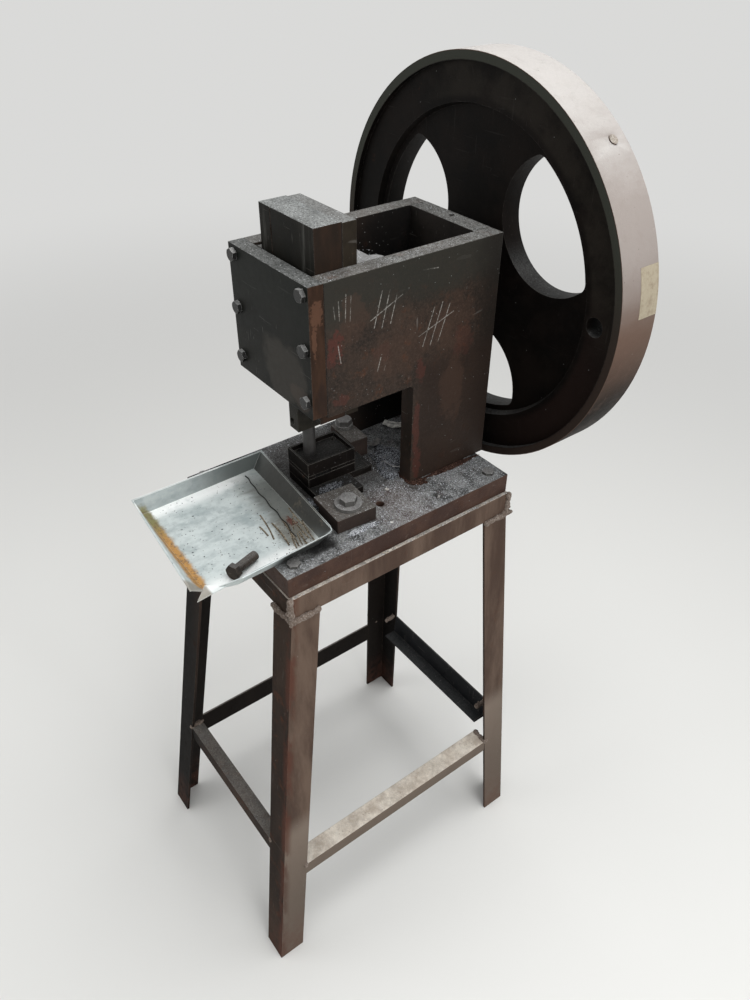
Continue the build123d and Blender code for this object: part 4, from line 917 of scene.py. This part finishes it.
def makeTape():
    # a strip of paper tape stuck to the rim's right side
    low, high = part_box("flywheel")
    centreZ, radius = (low[2] + high[2]) / 2, (high[0] - low[0]) / 2
    bm = bmesh.new()
    makeGrid(bm)
    thickness, width = tape["thickness"] * mm, (tape["rear"] - tape["front"]) * mm
    bmesh.ops.scale(bm, vec=(thickness, width, 1), verts=bm.verts)
    hub = (0, press(0, (tape["rear"] + tape["front"]) / 2, 0).y, centreZ)
    bmesh.ops.translate(bm, vec=(radius + thickness * tape["proud"], hub[1], centreZ), verts=bm.verts)
    bmesh.ops.rotate(bm, cent=hub, verts=bm.verts,
                     matrix=Matrix.Rotation(-math.radians(tape["fromDegrees"]), 3, "Y"))
    bmesh.ops.spin(bm, geom=everything(bm), cent=hub, axis=(0, -1, 0),
                   angle=math.radians(tape["toDegrees"] - tape["fromDegrees"]), steps=tape["steps"])
    addPiece("rimTape", bm, tapeFinish(), "crankshaft")


makeTape()
print("tape made")

threads = {
    # foot of the thread, its direction, radius, length, pitch, material
    "looseBoltThread": ((127, -155, 11.7), (-0.357, 0.93, -0.083), 7.0, 41.5, 1.9, "rusty_steel"),
}
for name, height in {"gibThreadLow": 211, "gibThreadMid": 279, "gibThreadHigh": 347}.items():
    threads[name] = ((-106, 63.3, height), (-1, 0, 0), 5.0, 11.6, 1.5, "fastener_steel")
# the ridge's root below and crest above the radius, its flanks along the pitch, and steps in a turn
ridge = {"root": 0.4, "crest": 0.35, "top": 0.42, "end": 0.84, "steps": 14}


def makeThread(name, foot, direction, radius, length, pitch, slot):
    turns, root = round(length / pitch) - 1, radius - ridge["root"]
    bm = bmesh.new()
    corners = (root, 0, 0), (radius + ridge["crest"], 0, pitch * ridge["top"]), (root, 0, pitch * ridge["end"])
    bm.faces.new([bm.verts.new(corner) for corner in corners])
    bmesh.ops.spin(bm, geom=everything(bm), cent=(0, 0, 0), axis=(0, 0, 1),
                   angle=math.tau * turns, steps=ridge["steps"] * turns, dvec=(0, 0, pitch / ridge["steps"]))
    aim = Vector(direction).to_track_quat("Z", "Y").to_matrix().to_4x4()
    seat = Matrix.Translation(press(*foot)) @ aim @ Matrix.Scale(mm, 4)
    bmesh.ops.transform(bm, verts=bm.verts, matrix=seat)
    addPiece(name, bm, finishes["looseBolt"])


makeAll("threads", threads, makeThread)

trayMarks = {
    "oil": ((-74, -199), (114, -206)),
    "oilWidth": 13,
    "slivers": [
        ((40, -16), (100, -21)), ((72, -26), (120, -30)), ((62, -38), (126, -50)), ((86, -18), (131, -27)),
        ((90, -44), (128, -57)), ((30, -58), (92, -71)), ((54, -74), (80, -75)), ((98, -33), (134, -41)),
        ((60, -20), (90, -38)), ((78, -15), (110, -24)), ((100, -38), (126, -46)), ((58, -54), (116, -60))],
    "sliverWidth": (1.6, 2.6),
    "sliverThickness": 0.5,
    "sliverBow": 0.03,
    "sliverSeat": 1.3,
    "sliverPile": 0.35,
    "sliverLift": 0.4,
    "hem": [(160, -163, 25), (156, -60, 25), (153.4, -20, 25), (150, -9, 25), (139, -4.6, 25), (60, 2.4, 25),
            (-89, 16, 25), (-90, -210, 25), (141, -230, 25)],
    "hemRadius": 1.0,
    "wire": [(-70, -28, 4), (-62, -26, 3), (-50, -29, 2.4), (-36, -29.5, 2.2), (-18, -33, 2.3), (0, -32, 2.2),
             (22, -36, 2.4), (40, -35, 2.8), (58, -39, 3.2), (74, -38, 3), (92, -43, 2.6), (106, -43, 2.2)],
    "wireRadius": 0.9,
}


def sheetFinish():
    # galvanised sheet: cloudy zinc, black crumbs, oil along the front fold, dirt by the die, painted highlights
    # and painted shade
    f = Finish("galvanisedSheet")
    clouds = f.noise(0.045, 7, 0.65, (1, 0.8, 1))
    smear = f.noise(0.012, 6, 0.6, (1, 0.35, 1), 3.0)
    flowers = f.node("ShaderNodeTexVoronoi", None, {"Vector": f.place, "Scale": 160}, "Color")
    spangle = f.node("ShaderNodeSeparateColor", None, {0: flowers})
    cloudy = f.fade(clouds * 0.7 + smear * 0.3 + spangle * 0.06, 0.36, 0.62)
    f.colour = f.mix((0.33, 0.385, 0.39), (0.56, 0.615, 0.61), cloudy)
    floor = f.fade(f.facingZ, 0.6, 0.95)
    # painted highlights on the floor along the left and right walls
    pale = f.band(f.x, -100, -58, 12) * floor + f.band(f.x, 118, 146, 10) * floor * 0.8
    f.lay((0.93, 0.95, 0.94), pale * f.fade(clouds, 0.25, 0.5) * f.fade(f.y, 0, -60) * 0.95)
    # painted shade over the rear of the floor, by the rear wall
    shadeAtRear = f.fade(f.y + f.x * 0.04 + (smear - 0.5) * 50, -78, -28)
    f.lay((0.06, 0.061, 0.05), shadeAtRear * f.fade(f.x, -130, -20) * f.fade(f.x, 150, 100) * 0.85)
    # painted shade on the rear wall's inner face
    shadedRearWall = f.fade(f.facingY, -0.3, -0.8) * f.fade(f.y, -30, -8)
    f.lay((0.018, 0.0175, 0.0145), shadedRearWall * (0.86 + 0.12 * f.fade(f.x, -80, 60)))
    leftWall = f.fade(f.facingX, 0.3, 0.8) * f.fade(f.x, -60, -76)
    shadow = 0.5 + 0.5 * f.fade(f.y + (clouds - 0.5) * 60, -150, -30)
    f.lay((0.058, 0.068, 0.065), leftWall * shadow * 0.95)
    # painted shade on the outer face of the right wall
    outside = f.fade(f.facingX, 0.3, 0.7) * f.fade(f.x, 128, 138) * f.fade(f.y, -118, -84)
    f.lay((0.014, 0.014, 0.013), outside * 0.94)
    grime = f.patches(0.53, 0.7, 0.016, 8, 0.75, shift=5.5)
    f.lay((0.13, 0.11, 0.075), grime * f.fade(f.y, -110, -10) * f.fade(f.x, 0, 90) * 0.8)
    smudge = f.blotch((98, -40, 0), (44, 24, None), 1.0, 0.02) * floor
    f.lay((0.12, 0.105, 0.08), smudge * (0.3 + 0.4 * f.patches(0.4, 0.6, 0.008, 7, 0.8)))
    f.lay((0.075, 0.017, 0.008), f.blotch((72, -29, 0), (14, 6, None), 2.4, 0.005) * floor * 0.9)
    ear = f.fade(f.y, -201, -206) * f.fade(f.x, 112, 122)
    f.lay(f.mix((0.2, 0.18, 0.145), (0.34, 0.315, 0.27), smear), ear * 0.9)
    ragged = (f.noise(0.009, 6, 0.7, shift=8.8) - 0.5) * 16
    start, end = trayMarks["oil"]
    oil = f.stroke((*start, 0), (*end, 0), trayMarks["oilWidth"] + ragged, (1, 1, 0))
    oily = f.mix((0.16, 0.15, 0.035), (0.42, 0.21, 0.035), f.fade(f.x + ragged, -60, 10))
    oily = f.mix(oily, (0.1, 0.046, 0.012), f.patches(0.46, 0.62, 0.006, 7, 0.8) * 0.85)
    inward = f.fade(f.facingZ, 0.02, 0.2)
    f.lay(oily, oil * inward * 0.95)
    crumbsHere = f.specks(0.0085, 0.0013, 0.42) + f.specks(0.0055, 0.0006, 0.5)
    crumbsHere = crumbsHere + f.patches(0.69, 0.74, 0.0045, 5, 0.8)
    f.lay((0.03, 0.03, 0.03), crumbsHere.least(1.0) * floor * 0.85)
    # painted highlight along the folds and the rim
    f.lay((0.62, 0.64, 0.62), f.edges(0.0015) * 0.6)
    dull = (grime * 0.4 + shadeAtRear * 0.4 + crumbsHere * 0.3).least(1.0)
    roughness = (0.34 + 0.18 * smear + 0.35 * dull).least(0.9)
    return f.give(f.shader(f.colour, roughness, 0.3 * (1 - dull) * (1 - oil), clouds + smear * 0.4, 0.0012))


finishes["sheet"] = sheetFinish()
dress(finishes["sheet"], ["tray"])


def makeRod(name, places, radius, finish):
    # a round bar through the places: the hem of the tray's rim and the wire in it
    curve = bpy.data.curves.new(name, "CURVE")
    curve.dimensions = "3D"
    curve.bevel_depth = radius * mm
    curve.bevel_resolution = 2
    curve.use_fill_caps = True
    line = curve.splines.new("POLY")
    line.points.add(len(places) - 1)
    for point, place in zip(line.points, places):
        point.co = (*press(*place), 1)
    curve.materials.append(finish)
    addObject(name, curve)


def makeSlivers():
    # narrow offcuts on the tray's floor, slightly bowed
    rng = random.Random("slivers")
    bm = bmesh.new()
    for number, (start, end) in enumerate(trayMarks["slivers"]):
        pile = trayMarks["sliverSeat"] + number % 4 * trayMarks["sliverPile"]
        start, end = press(*start, pile), press(*end, pile)
        along = end - start
        strip = makeGrid(bm, 9)
        width = rng.uniform(*trayMarks["sliverWidth"]) * mm
        bow = rng.uniform(-1, 1) * trayMarks["sliverBow"] * along.length * 4
        seat = Matrix.Translation((start + end) / 2) @ Matrix.Rotation(math.atan2(along.y, along.x), 4, "Z")
        for vertex in strip:
            x, y, z = vertex.co
            lift = trayMarks["sliverLift"] * abs(x) * mm
            vertex.co = seat @ Vector((x * along.length, y * width + bow * x * x, lift))
    bmesh.ops.solidify(bm, geom=bm.faces[:], thickness=trayMarks["sliverThickness"] * mm)
    finish = crumbFinish("sliverSteel", (0.045, 0.034, 0.022), (0.3, 0.255, 0.19), 0.6)
    addPiece("sliversInTray", bm, finish)


makeRod("trayHem", trayMarks["hem"], trayMarks["hemRadius"], finishes["sheet"])
makeRod("trayWire", trayMarks["wire"], trayMarks["wireRadius"], finishes["tool"])
makeSlivers()
print("tray finished")


# Camera, lights and floor

photograph = {
    "place": (0.9159, -0.6210, 1.6838),
    "azimuth": 0.91874,
    "pitch": 0.65372,
    "roll": 0.00757,
    "focalPixels": 822.27,
    "heightPixels": 1000,
    "sensorHeight": 36,
}


def makeCamera():
    camera = bpy.data.cameras.new("camera")
    camera.sensor_fit = "VERTICAL"
    camera.sensor_height = photograph["sensorHeight"]
    camera.lens = photograph["focalPixels"] * camera.sensor_height / photograph["heightPixels"]
    camera.clip_start = 0.02
    holder = link("camera", camera)
    turn = Matrix.Rotation(photograph["azimuth"], 4, "Z")
    tilt = Matrix.Rotation(math.pi / 2 - photograph["pitch"], 4, "X")
    roll = Matrix.Rotation(photograph["roll"], 4, "Z")
    holder.matrix_world = Matrix.Translation(photograph["place"]) @ turn @ tilt @ roll
    scene.camera = holder


studio = {
    "floorSize": 60,
    "floorColour": (0.72, 0.72, 0.7),
    "backColour": (0.7, 0.7, 0.69),
    "fade": (0.9, 4.5),
    "worldStrength": 0.42,
    "lamps": [
        ("topLamp", (0.3, 0.5, 3.6), (0, 0, 0.9), 2.2, 78),
        ("frontLamp", (-1.4, -2.4, 2.4), (0, 0, 1.0), 1.8, 20),
        ("rightLamp", (2.6, -0.2, 1.7), (0, 0, 0.8), 1.6, 36),
    ],
}


def makeStudio():
    bm = bmesh.new()
    makeGrid(bm, size=studio["floorSize"])
    mesh = bpy.data.meshes.new("floor")
    bm.to_mesh(mesh)
    bm.free()
    floor = link("floor", mesh)
    # far from the object the floor runs into the backdrop, for the camera and for reflections
    paint = Finish("floorPaint")
    near = paint.shader(studio["floorColour"], 0.9)
    away = paint.fade(paint.vector("LENGTH", paint.place, (0, 0, 0)), *studio["fade"])
    glow = paint.node("ShaderNodeEmission", None, {"Color": studio["backColour"]})
    mesh.materials.append(paint.give(paint.node("ShaderNodeMixShader", None, {
        0: paint.lookedAt() * away, 1: near, 2: glow})))
    scene.world = bpy.data.worlds.new("studio")
    sky = NodeTree(scene.world)
    light = sky.node("ShaderNodeBackground", None, {"Color": (1, 1, 1), "Strength": studio["worldStrength"]})
    back = sky.node("ShaderNodeBackground", None, {"Color": studio["backColour"]})
    sky.node("ShaderNodeOutputWorld", None, {"Surface": sky.node("ShaderNodeMixShader", None, {
        0: sky.lookedAt(), 1: light, 2: back})})
    for name, place, target, size, power in studio["lamps"]:
        lamp = bpy.data.lights.new(name, "AREA")
        lamp.size = size
        lamp.energy = power
        holder = link(name, lamp)
        aim = Vector(target) - Vector(place)
        holder.rotation_euler = aim.to_track_quat("-Z", "Y").to_euler()
        holder.location = place


makeCamera()
makeStudio()
scene.view_settings.view_transform = "Standard"
print("studio made")
